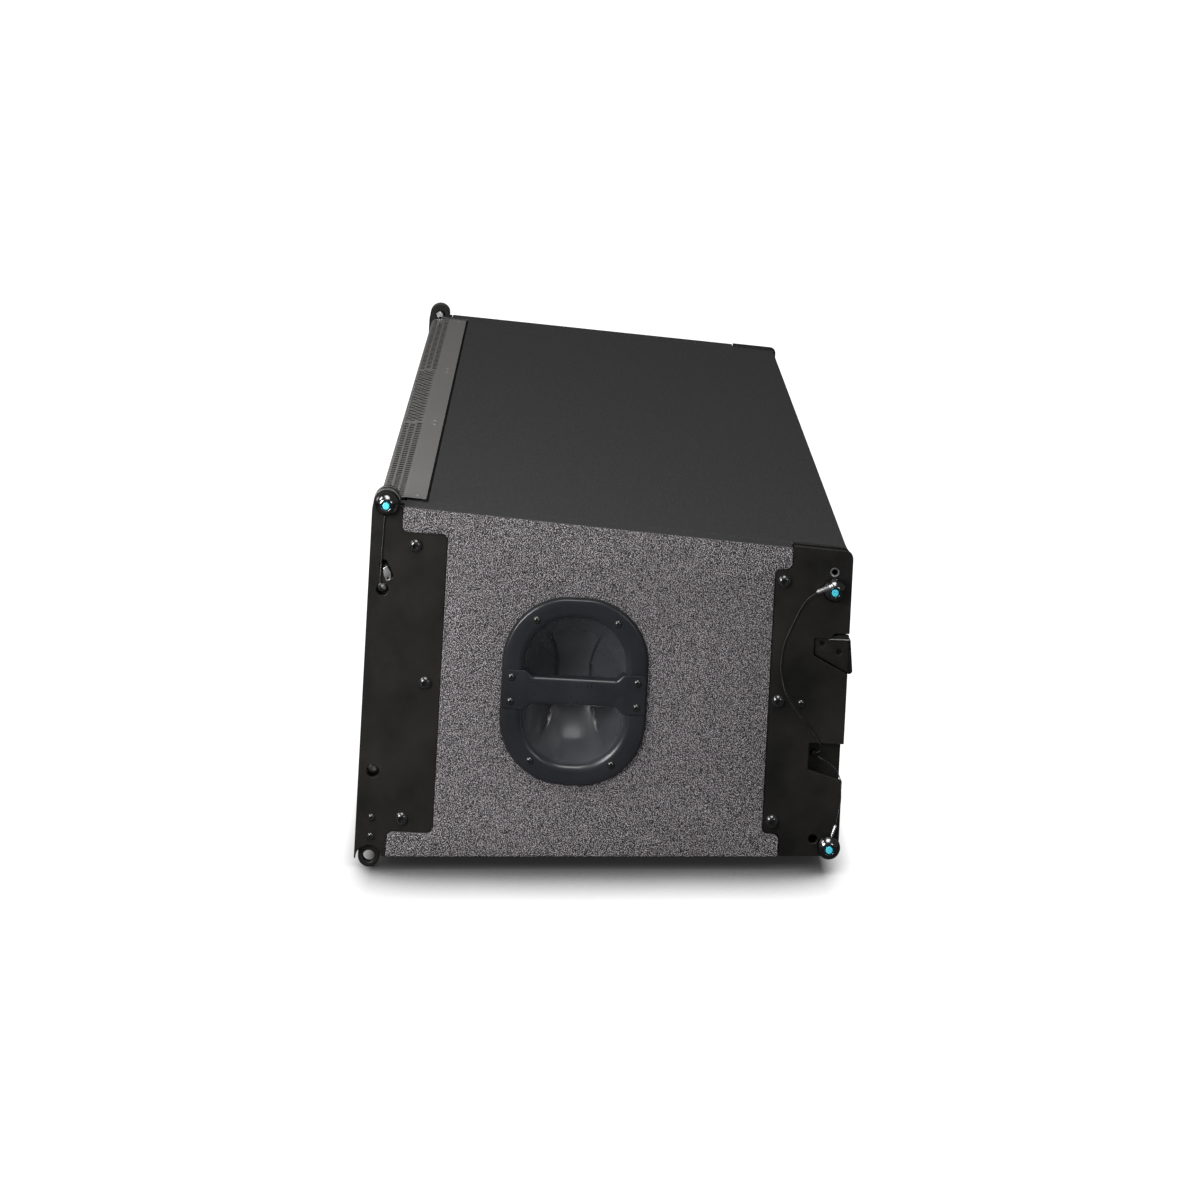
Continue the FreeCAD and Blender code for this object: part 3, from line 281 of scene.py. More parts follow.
def moulded(name, colour_low, colour_high, rough_low, rough_high, grain=0.00008, scale=1600):
    """Moulded plastic or rubber with a fine grain."""
    nodes = Nodes(name)
    colour = nodes.ramp(nodes.noise(25, 4), [(0.3, colour_low), (0.7, colour_high)])
    rough = nodes.span(nodes.noise(120, 5, 0.65), 0.3, 0.7, rough_low, rough_high)
    return nodes.finish(colour, rough, nodes.bump(nodes.noise(scale, 2), grain, 0.7))


CUP_DARK, CUP_PALE = (0.010, 0.011, 0.013), (0.015, 0.016, 0.019)


def cup_plastic(name):
    """The handle's plastic: satin on the flat rim and glossier inside the bowl, where its colour is painted
    lighter as painted light.
    """
    nodes = Nodes(name)
    inside = nodes.span(nodes.distance("X"), 0.560, 0.5685, 1.0, 0.0)
    cloudy = nodes.noise(25, 4)
    rim = nodes.ramp(cloudy, [(0.3, CUP_DARK), (0.7, CUP_PALE)])
    # Painted light: the bowl is the rim's plastic, coloured lighter where the bowl is lit.
    bowl = nodes.ramp(cloudy, [(0.3, (0.036, 0.037, 0.041)), (0.7, (0.052, 0.053, 0.058))])
    nodes.join(nodes.span(inside, 0.0, 1.0, 0.5, 1.0), nodes.shader.inputs["Specular IOR Level"])
    return nodes.finish(nodes.mix(inside, rim, bowl), nodes.span(inside, 0.0, 1.0, 0.30, 0.27),
                        nodes.bump(nodes.noise(1600, 2), 0.00003, 0.5))


def open_foam(name):
    nodes = Nodes(name)
    pores = nodes.cells(520)
    colour = nodes.ramp(pores, [(0.1, grey(0.004)), (0.6, grey(0.02))])
    return nodes.finish(colour, None, nodes.bump(pores, 0.0015, 1.0), Roughness=0.95,
                        Specular_IOR_Level=0.0)


def plywood(name):
    """Black-stained birch ply with its grain showing through."""
    nodes = Nodes(name)
    grain = nodes.noise(30, 6, 0.7, nodes.stretch((1, 10, 10)))
    colour = nodes.ramp(grain, [(0.35, (0.02, 0.018, 0.016)), (0.65, (0.06, 0.052, 0.045))])
    return nodes.finish(colour, None, nodes.bump(grain, 0.0004, 0.5), Roughness=0.7)


def stranded_wire(name):
    """Twisted steel strands: bands that run slantwise along the wire."""
    nodes = Nodes(name)
    wave = nodes.add("ShaderNodeTexWave", bands_direction="DIAGONAL", Scale=420, Distortion=1.5)
    nodes.join(nodes.place, wave.inputs["Vector"])
    colour = nodes.ramp(wave.outputs["Fac"], [(0.1, grey(0.02)), (0.8, grey(0.10))])
    normal = nodes.bump(wave.outputs["Fac"], 0.0004, 0.8)
    return nodes.finish(colour, None, normal, Metallic=0.85, Roughness=0.35)


def circuit_board(name):
    nodes = Nodes(name)
    tracks = nodes.cells(60)
    colour = nodes.ramp(tracks, [(0.2, (0.012, 0.06, 0.02)), (0.6, (0.02, 0.12, 0.04))])
    return nodes.finish(colour, None, nodes.bump(tracks, 0.0002, 0.5), Roughness=0.45)


# Each material's function and its values after the name.
RECIPES = {
    "textured_paint": (textured_paint, 0.044, 0.36),
    "painted_panel": (textured_paint, 0.030, 0.12),
    "raw_wood": (plywood,),
    "grille_steel": (powder_coat, 0.165, 0.39, 0.41, 0.00003, 0.03, 0.5, 0.04, 0.0),
    "foam": (open_foam,),
    "black_screw": (powder_coat, 0.010, 0.10, 0.22, 0.00003, 0.0, 0.9),
    "rigging_steel": (powder_coat, 0.0085, 0.34, 0.48, 0.0001, 0.08, 0.3, 0.55, 0.0),
    "pin_steel": (bare_metal, 0.17, 0.10, 0.20),
    "bright_steel": (bare_metal, 0.66, 0.28, 0.45, (1, 1, 8)),
    "button_blue": (moulded, (0.04, 0.42, 0.53), (0.09, 0.57, 0.70), 0.15, 0.25),
    "wire_rope": (stranded_wire,),
    "handle_plastic": (moulded, CUP_DARK, CUP_PALE, 0.26, 0.36, 0.00003),
    "cup_plastic": (cup_plastic,),
    "basket_alloy": (powder_coat, 0.03, 0.4, 0.6, 0.0002),
    "cone_paper": (moulded, grey(0.012), grey(0.022), 0.75, 0.9, 0.0006, 500),
    "surround_rubber": (moulded, grey(0.008), grey(0.015), 0.5, 0.65),
    "horn_plastic": (moulded, grey(0.01), grey(0.018), 0.35, 0.5),
    "board": (circuit_board,),
    "input_plate": (powder_coat, 0.02, 0.3, 0.45),
    "socket_plastic": (moulded, (0.012, 0.02, 0.05), (0.02, 0.035, 0.08), 0.3, 0.5),
}
MATERIALS = {name: make(name, *values) for name, (make, *values) in RECIPES.items()}


# ---------------------------------------------------------------- mesh helpers

def rounded(corners, step=15):
    """A closed outline from (u, v, radius) corners, each rounded with an arc."""
    points = []
    count = len(corners)
    for k in range(count):
        u, v, radius = corners[k]
        here = Vector((u, v))
        if radius <= 0:
            points.append((u, v))
            continue
        before = (Vector(corners[k - 1][:2]) - here).normalized()
        after = (Vector(corners[(k + 1) % count][:2]) - here).normalized()
        half = math.acos(max(-1, min(1, before.dot(after)))) / 2
        centre = here + (before + after).normalized() * (radius / math.sin(half))
        start = here + before * (radius / math.tan(half)) - centre
        sweep = math.pi - 2 * half
        if before.x * after.y - before.y * after.x > 0:
            sweep = -sweep
        steps = max(2, round(abs(math.degrees(sweep)) / step))
        for j in range(steps + 1):
            turn = sweep * j / steps
            cos, sin = math.cos(turn), math.sin(turn)
            points.append((centre.x + start.x * cos - start.y * sin,
                           centre.y + start.x * sin + start.y * cos))
    return points


def circle(u, v, radius, count=32):
    return [(u + radius * math.cos(2 * math.pi * k / count),
             v + radius * math.sin(2 * math.pi * k / count)) for k in range(count)]


def arc(u, v, radius, start, end, count=12):
    """Points from start to end, in degrees, with both ends."""
    turns = [math.radians(start + (end - start) * k / count) for k in range(count + 1)]
    return [(u + radius * math.cos(turn), v + radius * math.sin(turn)) for turn in turns]


def box_outline(u_low, u_high, v_low, v_high, radius=0.0):
    return rounded([(u_low, v_low, radius), (u_high, v_low, radius),
                    (u_high, v_high, radius), (u_low, v_high, radius)])


def area(loop):
    return sum(loop[k - 1][0] * loop[k][1] - loop[k][0] * loop[k - 1][1]
               for k in range(len(loop))) / 2


def inset_loop(loop, distance):
    """The loop moved to its left by a distance: inwards for an anticlockwise outline."""
    moved = []
    count = len(loop)
    for k in range(count):
        here = Vector(loop[k])
        before = (here - Vector(loop[k - 1])).normalized()
        after = (Vector(loop[(k + 1) % count]) - here).normalized()
        normal = Vector((-before.y - after.y, before.x + after.x))
        if normal.length < 1e-6:
            normal = Vector((-before.y, before.x))
        normal.normalize()
        lean = max(0.5, normal.dot(Vector((-before.y, before.x))))
        moved.append(tuple(here + normal * (distance / lean)))
    return moved


def link(name, data):
    """A new object in the scene that holds a mesh, a light or a camera."""
    item = bpy.data.objects.new(name, data)
    bpy.context.scene.collection.objects.link(item)
    return item


def mesh_object(name, bm, smooth_angle=35):
    """Turns a bmesh in cabinet mm into an object in the row frame, with sharp edges marked."""
    bmesh.ops.recalc_face_normals(bm, faces=bm.faces)
    limit = math.radians(smooth_angle)
    for face in bm.faces:
        face.smooth = True
    for edge in bm.edges:
        edge.smooth = len(edge.link_faces) == 2 and edge.calc_face_angle(0) < limit
    bmesh.ops.transform(bm, matrix=STAND, verts=bm.verts)
    mesh = bpy.data.meshes.new(name)
    bm.to_mesh(mesh)
    bm.free()
    return link(name, mesh)


def dress(item, body, slot, material=None, replaces=()):
    """Gives a finished piece its material and its body, and hides the CAD nodes it stands for."""
    item.data.materials.clear()
    item.data.materials.append(MATERIALS[material or slot])
    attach(item, body)
    if replaces:
        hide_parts(*replaces)
    return item


def flip_x(bm):
    bmesh.ops.scale(bm, vec=(-1, 1, 1), verts=bm.verts)
    bmesh.ops.reverse_faces(bm, faces=bm.faces)


def bridge(bm, rings):
    """Faces between rings of the same number of points; a ring of one point makes a fan."""
    for lower, upper in zip(rings, rings[1:]):
        count = max(len(lower), len(upper))
        for k in range(count if count > 1 else 0):
            j = (k + 1) % count
            corners = (lower[k % len(lower)], lower[j % len(lower)],
                       upper[j % len(upper)], upper[k % len(upper)])
            bm.faces.new(list(dict.fromkeys(corners)))


def along_axis(axis, u, v, along):
    """The point (u, v) of an outline, at a place along the axis it faces."""
    return {"X": (along, u, v), "Y": (u, along, v), "Z": (u, v, along)}[axis]


def add_slab(bm, outline, holes, low, high, bevel=0.6, axis="X", steps=3, bevel_low=None):
    """A flat piece with rounded edges: an outline with holes, from low to high across."""
    if area(outline) < 0:
        outline = outline[::-1]
    loops = [outline] + [hole[::-1] if area(hole) > 0 else hole for hole in holes]
    under = bevel if bevel_low is None else bevel_low
    rings = []
    for k in range(steps + 1):
        turn = math.pi / 2 * k / steps
        rings.append((under * (1 - math.sin(turn)), low + under * (1 - math.cos(turn))))
    for k in range(steps + 1):
        turn = math.pi / 2 * k / steps
        rings.append((bevel * (1 - math.cos(turn)), high - bevel * (1 - math.sin(turn))))

    ends = []
    for loop in loops:
        made = []
        for distance, level in rings:
            made.append([bm.verts.new(along_axis(axis, u, v, level))
                         for u, v in inset_loop(loop, distance)])
        bridge(bm, made)
        ends.append((made[0], made[-1]))
    for end in (0, -1):
        verts, flat, faces = [], [], []
        distance, level = rings[end]
        for loop, pair in zip(loops, ends):
            ring = list(range(len(flat), len(flat) + len(loop)))
            faces.append(ring if loop is outline else ring[::-1])
            flat += [Vector(p) for p in inset_loop(loop, distance)]
            verts += pair[end]
        spots, _, pieces, sources, _, origins = geometry.delaunay_2d_cdt(
            flat, [], faces, 1, 1e-7, True)
        extra = {}

        def corner_at(k):
            """The ring's own vertex, or a new one where the inset loop crosses itself."""
            if sources[k]:
                return verts[sources[k][0]]
            if k not in extra:
                extra[k] = bm.verts.new(along_axis(axis, *spots[k], level))
            return extra[k]

        for piece, origin in zip(pieces, origins):
            if origin == [0]:
                bm.faces.new([corner_at(k) for k in piece])


def add_lathe(bm, centre, profile, axis="X", count=48, shape=None):
    """A turned shape: (along, radius) points about an axis through centre.

    shape(k, turn), if given, scales the radius of ring k at an angle, for sockets and keys."""
    rings = []
    for k, (along, radius) in enumerate(profile):
        ring = []
        for j in range(count if radius > 1e-6 else 1):
            turn = 2 * math.pi * j / count
            size = radius * (shape(k, turn) if shape else 1)
            offset = along_axis(axis, size * math.cos(turn), size * math.sin(turn), along)
            ring.append(bm.verts.new([c + d for c, d in zip(centre, offset)]))
        rings.append(ring)
    bridge(bm, rings)


def add_tube(bm, path, radius, count=10):
    """A round tube along a list of points, closed at both ends. radius may vary per point."""
    points = [Vector(p) for p in path]
    radii = radius if isinstance(radius, list) else [radius] * len(points)
    side = Vector((1, 0, 0))
    rings = []
    for k, (point, size) in enumerate(zip(points, radii)):
        along = (points[min(k + 1, len(points) - 1)] - points[max(k - 1, 0)]).normalized()
        side = (side - along * side.dot(along)).normalized()
        other = along.cross(side)
        rings.append([bm.verts.new(point + (side * math.cos(a) + other * math.sin(a)) * size)
                      for a in (2 * math.pi * j / count for j in range(count))])
    bridge(bm, rings)
    bm.faces.new(rings[0][::-1])
    bm.faces.new(rings[-1])


def smooth_path(points, steps=8):
    """Catmull-Rom points through a rough path."""
    spots = [Vector(p) for p in points]
    spots = [2 * spots[0] - spots[1]] + spots + [2 * spots[-1] - spots[-2]]
    path = []
    for k in range(1, len(spots) - 2):
        a, b, c, d = spots[k - 1:k + 3]
        for j in range(steps):
            t = j / steps
            path.append(0.5 * ((2 * b) + (c - a) * t + (2 * a - 5 * b + 4 * c - d) * t * t
                               + (3 * b - a - 3 * c + d) * t ** 3))
    return path + [spots[-2]]


def single(build, name, slot, material=None, replaces=True, smooth_angle=35):
    """Builds a piece of the cabinet, which stands for the CAD node of its name or for none."""
    bm = bmesh.new()
    build(bm)
    item = mesh_object(name + "_skin" if replaces else name, bm, smooth_angle)
    return dress(item, ROOT, slot, material, [name] if replaces else [])


def both(build, name, body, slot, material=None, replaces=True, smooth_angle=35):
    """Builds a right-hand piece and its left-hand twin. body may hold {side}."""
    made = []
    for side, sign in SIDES.items():
        bm = bmesh.new()
        build(bm)
        if sign < 0:
            flip_x(bm)
        item = mesh_object(f"{name}_{side}_skin", bm, smooth_angle)
        nodes = [f"{name}_{side}"] if replaces else []
        made.append(dress(item, body.format(side=side), slot, material, nodes))
    return made


def fasteners(bm, spots, head, high, socket, shank, axis="X", down=False, count=30):
    """Button-head screws with hexagon sockets; the underside of each head is at its spot."""
    sign = -1 if down else 1
    profile = [(-shank, 0.0), (-shank, head * 0.45), (0, head * 0.45), (0, head)]
    profile += [(high * 0.22, head), (high * 0.55, head * 0.88), (high * 0.85, head * 0.66),
                (high, head * 0.46), (high, socket * 1.12)]
    first = len(profile)
    profile += [(high, socket), (high * 0.42, socket), (high * 0.3, 0.0)]

    def shape(k, turn):
        """From a round ring to a hexagon of the same flat-to-centre distance in the socket."""
        return 1 / math.cos(turn % (math.pi / 3) - math.pi / 6) if k >= first else 1.0

    profile = [(sign * along, radius) for along, radius in profile]
    for spot in spots:
        add_lathe(bm, spot, profile, axis, count, shape)


# ---------------------------------------------------------------- cabinet

def build_side(bm):
    """The outside layer is stepped round the rigging plates; the inside layer is whole."""
    gap = 0.5
    front, wide, half = FRONT_NECK + gap, FRONT_WIDE + gap, FRONT_STEP + gap
    rear, rear_wide, rear_half = REAR_NECK - gap, REAR_WIDE - gap, REAR_STEP + gap
    stepped = [(front, -roof(front), 2), (rear, -roof(rear), 2), (rear, -rear_half, 7),
               (rear_wide, -rear_half, 5), (rear_wide, rear_half, 5), (rear, rear_half, 7),
               (rear, roof(rear), 2), (front, roof(front), 2), (front, half, 7),
               (wide, half, 7), (wide, -half, 7), (front, -half, 7)]
    opening = [(HANDLE_Y + u, v) for u, v in box_outline(-58, 58, -80.5, 80.5, 52)]
    add_slab(bm, rounded(stepped), [opening], POCKET_FLOOR, SIDE_FACE, 1.1, bevel_low=0.0)
    whole = [(WOOD_FRONT, -roof(WOOD_FRONT)), (WOOD_REAR, -roof(WOOD_REAR)),
             (WOOD_REAR, roof(WOOD_REAR)), (WOOD_FRONT, roof(WOOD_FRONT))]
    add_slab(bm, whole, [opening, circle(*PINS["rear_top"], 7.5)], SIDE_BACK, POCKET_FLOOR,
             0.3, steps=1)


def build_lid(bm, up):
    """The top or bottom panel, rabbeted at the front for the grille's folded edge."""
    points = [(RABBET_FRONT, roof(RABBET_FRONT, RABBET_DEEP), 0),
              (LID_FRONT, roof(LID_FRONT, RABBET_DEEP), 0), (LID_FRONT, roof(LID_FRONT), 0.8),
              (WOOD_REAR, roof(WOOD_REAR), 1.2), (WOOD_REAR, roof(WOOD_REAR, LID), 0.4),
              (RABBET_FRONT, roof(RABBET_FRONT, LID), 0.4)]
    outline = [(y, up * z) for y, z in rounded(points, 22)]
    add_slab(bm, outline, [], -SIDE_BACK, SIDE_BACK, 0.05, steps=1)


def build_back(bm):
    """The back panel, with a window and a shallow seat for the input panel."""
    gap, plate = 0.3, 3
    step = WOOD_REAR - plate
    height = roof(WOOD_REAR, LID + 0.1)
    outline = box_outline(-SIDE_BACK + 0.1, SIDE_BACK - 0.1, -height, height)
    window = box_outline(-75, 75, -90, -40)
    seat = box_outline(-INPUT_HALF - gap, INPUT_HALF + gap, INPUT_LOW - gap, INPUT_HIGH + gap, 4.3)
    add_slab(bm, outline, [window], WOOD_REAR - PANEL_THICK, step, 0.2, "Y", steps=1)
    add_slab(bm, outline, [seat], step, WOOD_REAR, 0.8, "Y", bevel_low=0.0)


def make_cabinet():
    both(build_side, "side_panel", ROOT, "textured_paint")
    single(lambda bm: build_lid(bm, 1), "top_panel", "painted_panel")
    single(lambda bm: build_lid(bm, -1), "bottom_panel", "painted_panel")
    single(build_back, "back_panel", "painted_panel")


# ---------------------------------------------------------------- grille

GRILLE_THICK, STRIP_REAR = 0.45, 53.7
HOLE_PITCH, HOLE_RADIUS, HOLE_MARGIN = 9.0, 3.95, 3.2


def grille_path():
    """The folded sheet's outer face from the top strip's rear edge down to the bottom one's."""
    upper = [(STRIP_REAR, roof(STRIP_REAR), 0), (GRILLE_BEND, roof(GRILLE_BEND), 3),
             (GRILLE_FRONT, FACE_HIGH, 7)]
    lower = [(y, -z, r) for y, z, r in reversed(upper)]
    behind = [(200.0, -100.0, 0), (200.0, 100.0, 0)]
    return [Vector(p) for p in rounded(upper + lower + behind, 12)[:-len(behind)]]


def fold_map(path):
    """Lengths along the path, and a function from a length to (point, outward normal)."""
    lengths = [0.0]
    for a, b in zip(path, path[1:]):
        lengths.append(lengths[-1] + (b - a).length)
    tangents = [(b - a).normalized() for a, b in zip(path, path[1:])]
    corner = [tangents[0]] + [(a + b).normalized() for a, b in zip(tangents, tangents[1:])]
    corner.append(tangents[-1])

    def place(length):
        k = 0
        while k < len(path) - 2 and lengths[k + 1] < length - 1e-9:
            k += 1
        t = max(0.0, min(1.0, (length - lengths[k]) / (lengths[k + 1] - lengths[k])))
        spot = path[k].lerp(path[k + 1], t)
        along = corner[k].lerp(corner[k + 1], t).normalized()
        if (path[k + 1] - path[k]).length > 5:
            along = tangents[k]
        return spot, Vector((along.y, -along.x)) * -1

    return lengths, place


def hole_centres(u_low, u_high, v_low, v_high, along_u):
    """Honeycomb centres. Rows run along u, or along v when the pattern is turned."""
    row = HOLE_PITCH * math.sqrt(3) / 2
    rows, columns = (row, HOLE_PITCH) if along_u else (HOLE_PITCH, row)
    wide, tall = u_high - u_low - 2 * HOLE_RADIUS, v_high - v_low - 2 * HOLE_RADIUS
    count_u, count_v = int(wide / columns), int(tall / rows)
    first_u = (u_low + u_high - count_u * columns) / 2
    first_v = (v_low + v_high - count_v * rows) / 2
    for i in range(count_v + 1):
        for j in range(count_u + 1):
            u, v = first_u + j * columns, first_v + i * rows
            if along_u:
                u += HOLE_PITCH / 2 if i % 2 else 0
            else:
                v += HOLE_PITCH / 2 if j % 2 else 0
            if u < u_high - HOLE_RADIUS - 0.2 and v < v_high - HOLE_RADIUS - 0.2:
                yield u, v


def build_grille(bm, x_low, x_high, along_x):
    """Cuts the flat sheet into triangles round its holes, then folds it along the path."""
    path = grille_path()
    lengths, place = fold_map(path)
    total = lengths[-1]
    flat = [Vector(p) for p in ((x_low, 0), (x_high, 0), (x_high, total), (x_low, total))]
    faces = [[0, 1, 2, 3]]
    edges = []
    for length in lengths[1:-1]:
        edges.append((len(flat), len(flat) + 1))
        flat += [Vector((x_low, length)), Vector((x_high, length))]
    strip = lengths[1] - 1.0
    turn = 30 if along_x else 0
    for u, v in hole_centres(x_low + HOLE_MARGIN, x_high - HOLE_MARGIN, strip, total - strip,
                             along_x):
        faces.append(list(range(len(flat), len(flat) + 6)))
        for k in range(6):
            angle = math.radians(turn + 60 * k)
            flat.append(Vector((u + HOLE_RADIUS * math.cos(angle),
                                v + HOLE_RADIUS * math.sin(angle))))
    spots, _, pieces, _, _, origins = geometry.delaunay_2d_cdt(flat, edges, faces, 1, 1e-5, True)
    outer, inner = [], []
    for u, v in spots:
        spot, normal = place(v)
        under = spot - normal * GRILLE_THICK
        outer.append(bm.verts.new((u, spot.x, spot.y)))
        inner.append(bm.verts.new((u, under.x, under.y)))
    rim = {}
    for piece, origin in zip(pieces, origins):
        if origin != [0]:
            continue
        bm.faces.new([outer[k] for k in piece])
        bm.faces.new([inner[k] for k in reversed(piece)])
        rim.update(dict.fromkeys(zip(piece, piece[1:] + piece[:1])))
    for a, b in rim:
        if (b, a) not in rim:
            bm.faces.new((outer[b], outer[a], inner[a], inner[b]))
    loose = [v for v in bm.verts if not v.link_faces]
    bmesh.ops.delete(bm, geom=loose, context="VERTS")


def make_grille():
    def side_section(bm):
        build_grille(bm, CENTRE_HALF + 1, GRILLE_HALF, True)

    def centre_section(bm):
        build_grille(bm, -CENTRE_HALF, CENTRE_HALF, False)

    def screws(bm):
        row = 44.0
        for up in (1, -1):
            spots = [(s * x, row, up * (roof(row) + 0.1)) for s in (-1, 1) for x in (146, 167, 512)]
            fasteners(bm, spots, 3.0, 1.3, 1.1, 12, "Z", up < 0, 18)

    def gap_shade_strips(bm):
        """Black foam strips under the rear edges of the folded sheet: painted shade that makes the gap by the lid
        read black.
        """
        corners = ((51, 2.1), (56.4, 2.1), (56.4, 1.5), (51, 1.5))
        for up in (1, -1):
            outline = [(y, up * roof(y, inset)) for y, inset in corners]
            add_slab(bm, outline, [], -SIDE_BACK, SIDE_BACK, 0.15)

    both(side_section, "grille", ROOT, "grille_steel", smooth_angle=30)
    single(centre_section, "grille_center", "grille_steel", smooth_angle=30)
    single(screws, "grille_screws", "black_screw", "grille_steel")
    # Painted shade: black strips in the gap between the grille and the lids.
    single(gap_shade_strips, "grille_gap_shade", "foam", replaces=False)


def soft_sheet(bm, x_low, x_high, z_low, z_high, y_front, y_rear, cell, lumps, waves=0.0):
    """A foam slab on a grid, its faces uneven, or waved like acoustic foam on its front."""
    columns, rows = round((x_high - x_low) / cell), round((z_high - z_low) / cell)
    layers = []
    for y, sign in ((y_front, -1), (y_rear, 1)):
        grid = []
        for i in range(rows + 1):
            line = []
            for j in range(columns + 1):
                x = x_low + (x_high - x_low) * j / columns
                z = z_low + (z_high - z_low) * i / rows
                edge = i in (0, rows) or j in (0, columns)
                depth = 0.0 if edge else lumps * noise.noise(Vector((x, z, y)) * 0.08)
                if waves and sign < 0 and not edge:
                    depth += waves * math.sin(x * 0.16) * math.sin(z * 0.16) - waves
                line.append(bm.verts.new((x, y - sign * abs(depth), z)))
            grid.append(line)
        layers.append(grid)
        for i in range(rows):
            for j in range(columns):
                bm.faces.new((grid[i][j], grid[i][j + 1], grid[i + 1][j + 1], grid[i + 1][j]))
    front, rear = layers
    border = [(0, j) for j in range(columns)] + [(i, columns) for i in range(rows)]
    border += [(rows, j) for j in range(columns, 0, -1)] + [(i, 0) for i in range(rows, 0, -1)]
    for (a, b), (c, d) in zip(border, border[1:] + border[:1]):
        bm.faces.new((front[a][b], front[c][d], rear[c][d], rear[a][b]))


def make_foam():
    """The foam behind the grille, black foam under its flanges as painted shade behind their holes, and the
    absorbent slabs.
    """
    half, fold = 520, 32.5

    # Painted shade: a black foam sheet under each flange, so its holes read black.
    def flange_shade_sheet(bm):
        corners = [(8.0, FACE_HIGH - 3.2), (fold, roof(fold, 2.4)), (fold, roof(fold, 5.4)),
                   (8.0, FACE_HIGH - 6.2)]
        for up in (1, -1):
            add_slab(bm, [(y, up * z) for y, z in corners], [], -half, half, 0.4)

    def sheet(bm):
        soft_sheet(bm, -half, half, -170, 170, 6.6, 12.0, 8.0, 1.0)

    def slabs(bm):
        for x_low, x_high in ((180, 510), (-510, -180)):
            soft_sheet(bm, x_low, x_high, -125, 125, 455.5, 475.5, 5.0, 0.4, 3.5)

    single(flange_shade_sheet, "grille_flange_shade", "foam", replaces=False)
    single(sheet, "grille_foam", "foam", smooth_angle=80)
    single(slabs, "damping_foam", "foam", smooth_angle=80)


# ---------------------------------------------------------------- rigging

def front_outline():
    flat = roof(FRONT_NECK)
    y, z = LUG
    lug = arc(y, z, 14, 0, 180, 16)
    corners = [(0, -184.5, 0.4), (1.4, -184.5, 0.4)]
    corners += [(u, v, 0) for u, v in arc(y, -z, 13.5, 176, 12, 18)]
    corners += [(FRONT_NECK, -flat, 0.8), (FRONT_NECK, -FRONT_STEP, 7),
                (FRONT_WIDE, -FRONT_STEP, 7), (FRONT_WIDE, FRONT_STEP, 7),
                (FRONT_NECK, FRONT_STEP, 7), (FRONT_NECK, flat, 0.8), (28.8, flat, 0)]
    corners += [(u, v, 0) for u, v in lug[:-1]]
    return rounded(corners + [(1.0, z - 0.5, 0), (0.4, z - 3.5, 0), (0.0, z - 8, 0)])


def front_holes(bolt, anchor_slot):
    """Pin, index, bolt and screw holes, and on the outer plate the slot by the anchor."""
    holes = [circle(*LUG, PIN_HOLE), circle(LUG[0], INDEX_HIGH, 6.6),
             circle(LUG[0], -INDEX_HIGH, 6.6)]
    holes += [circle(y, z, bolt) for y, z in FRONT_BOLTS]
    holes += [circle(y, z, SCREW_HOLE, 16) for y, z in TONGUE_SCREWS]
    if anchor_slot:
        (y_top, z_top), (y_low, z_low) = ANCHOR_SLOT
        lean = math.degrees(math.atan2(z_low - z_top, y_low - y_top))
        holes.append(arc(y_top, z_top, 4.4, lean + 90, lean + 270, 12)
                     + arc(y_low, z_low, 4.4, lean - 90, lean + 90, 12))
    return holes


def rear_outline(edge, notches):
    """The rear plates' shape; its top edge stands 1.5 mm over the lid."""
    over = -1.5
    corners = [(REAR_WIDE, -REAR_STEP, 5), (REAR_NECK, -REAR_STEP, 6),
               (REAR_NECK, -roof(REAR_NECK), 0.8), (edge, -roof(edge), 4)]
    if notches:
        corners += [(edge, -79, 1), (463, -69, 2), (463, -41, 2), (edge, -41, 1),
                    (edge, 31.2, 1), (463, 49, 2), (463, 67.5, 2), (479, 67.5, 2),
                    (484, 72.5, 2), (edge, 73, 1)]
    corners += [(edge, roof(edge, over), 8), (REAR_NECK, roof(REAR_NECK, over), 0.8),
                (REAR_NECK, REAR_STEP, 6), (REAR_WIDE, REAR_STEP, 5)]
    return rounded(corners)


def rear_holes(bolt, outer):
    holes = [circle(*PINS["rear_top"], PIN_HOLE), circle(*PINS["rear_bottom"], PIN_HOLE),
             circle(*LINK_HOLE, LINK_RADIUS), circle(472, -140, 4.7),
             circle(*STOP_SCREW, SCREW_HOLE, 16)]
    holes += [circle(y, z, bolt) for y, z in REAR_BOLTS]
    return holes if outer else holes + [circle(*REAR_ANCHOR, SCREW_HOLE, 16)]


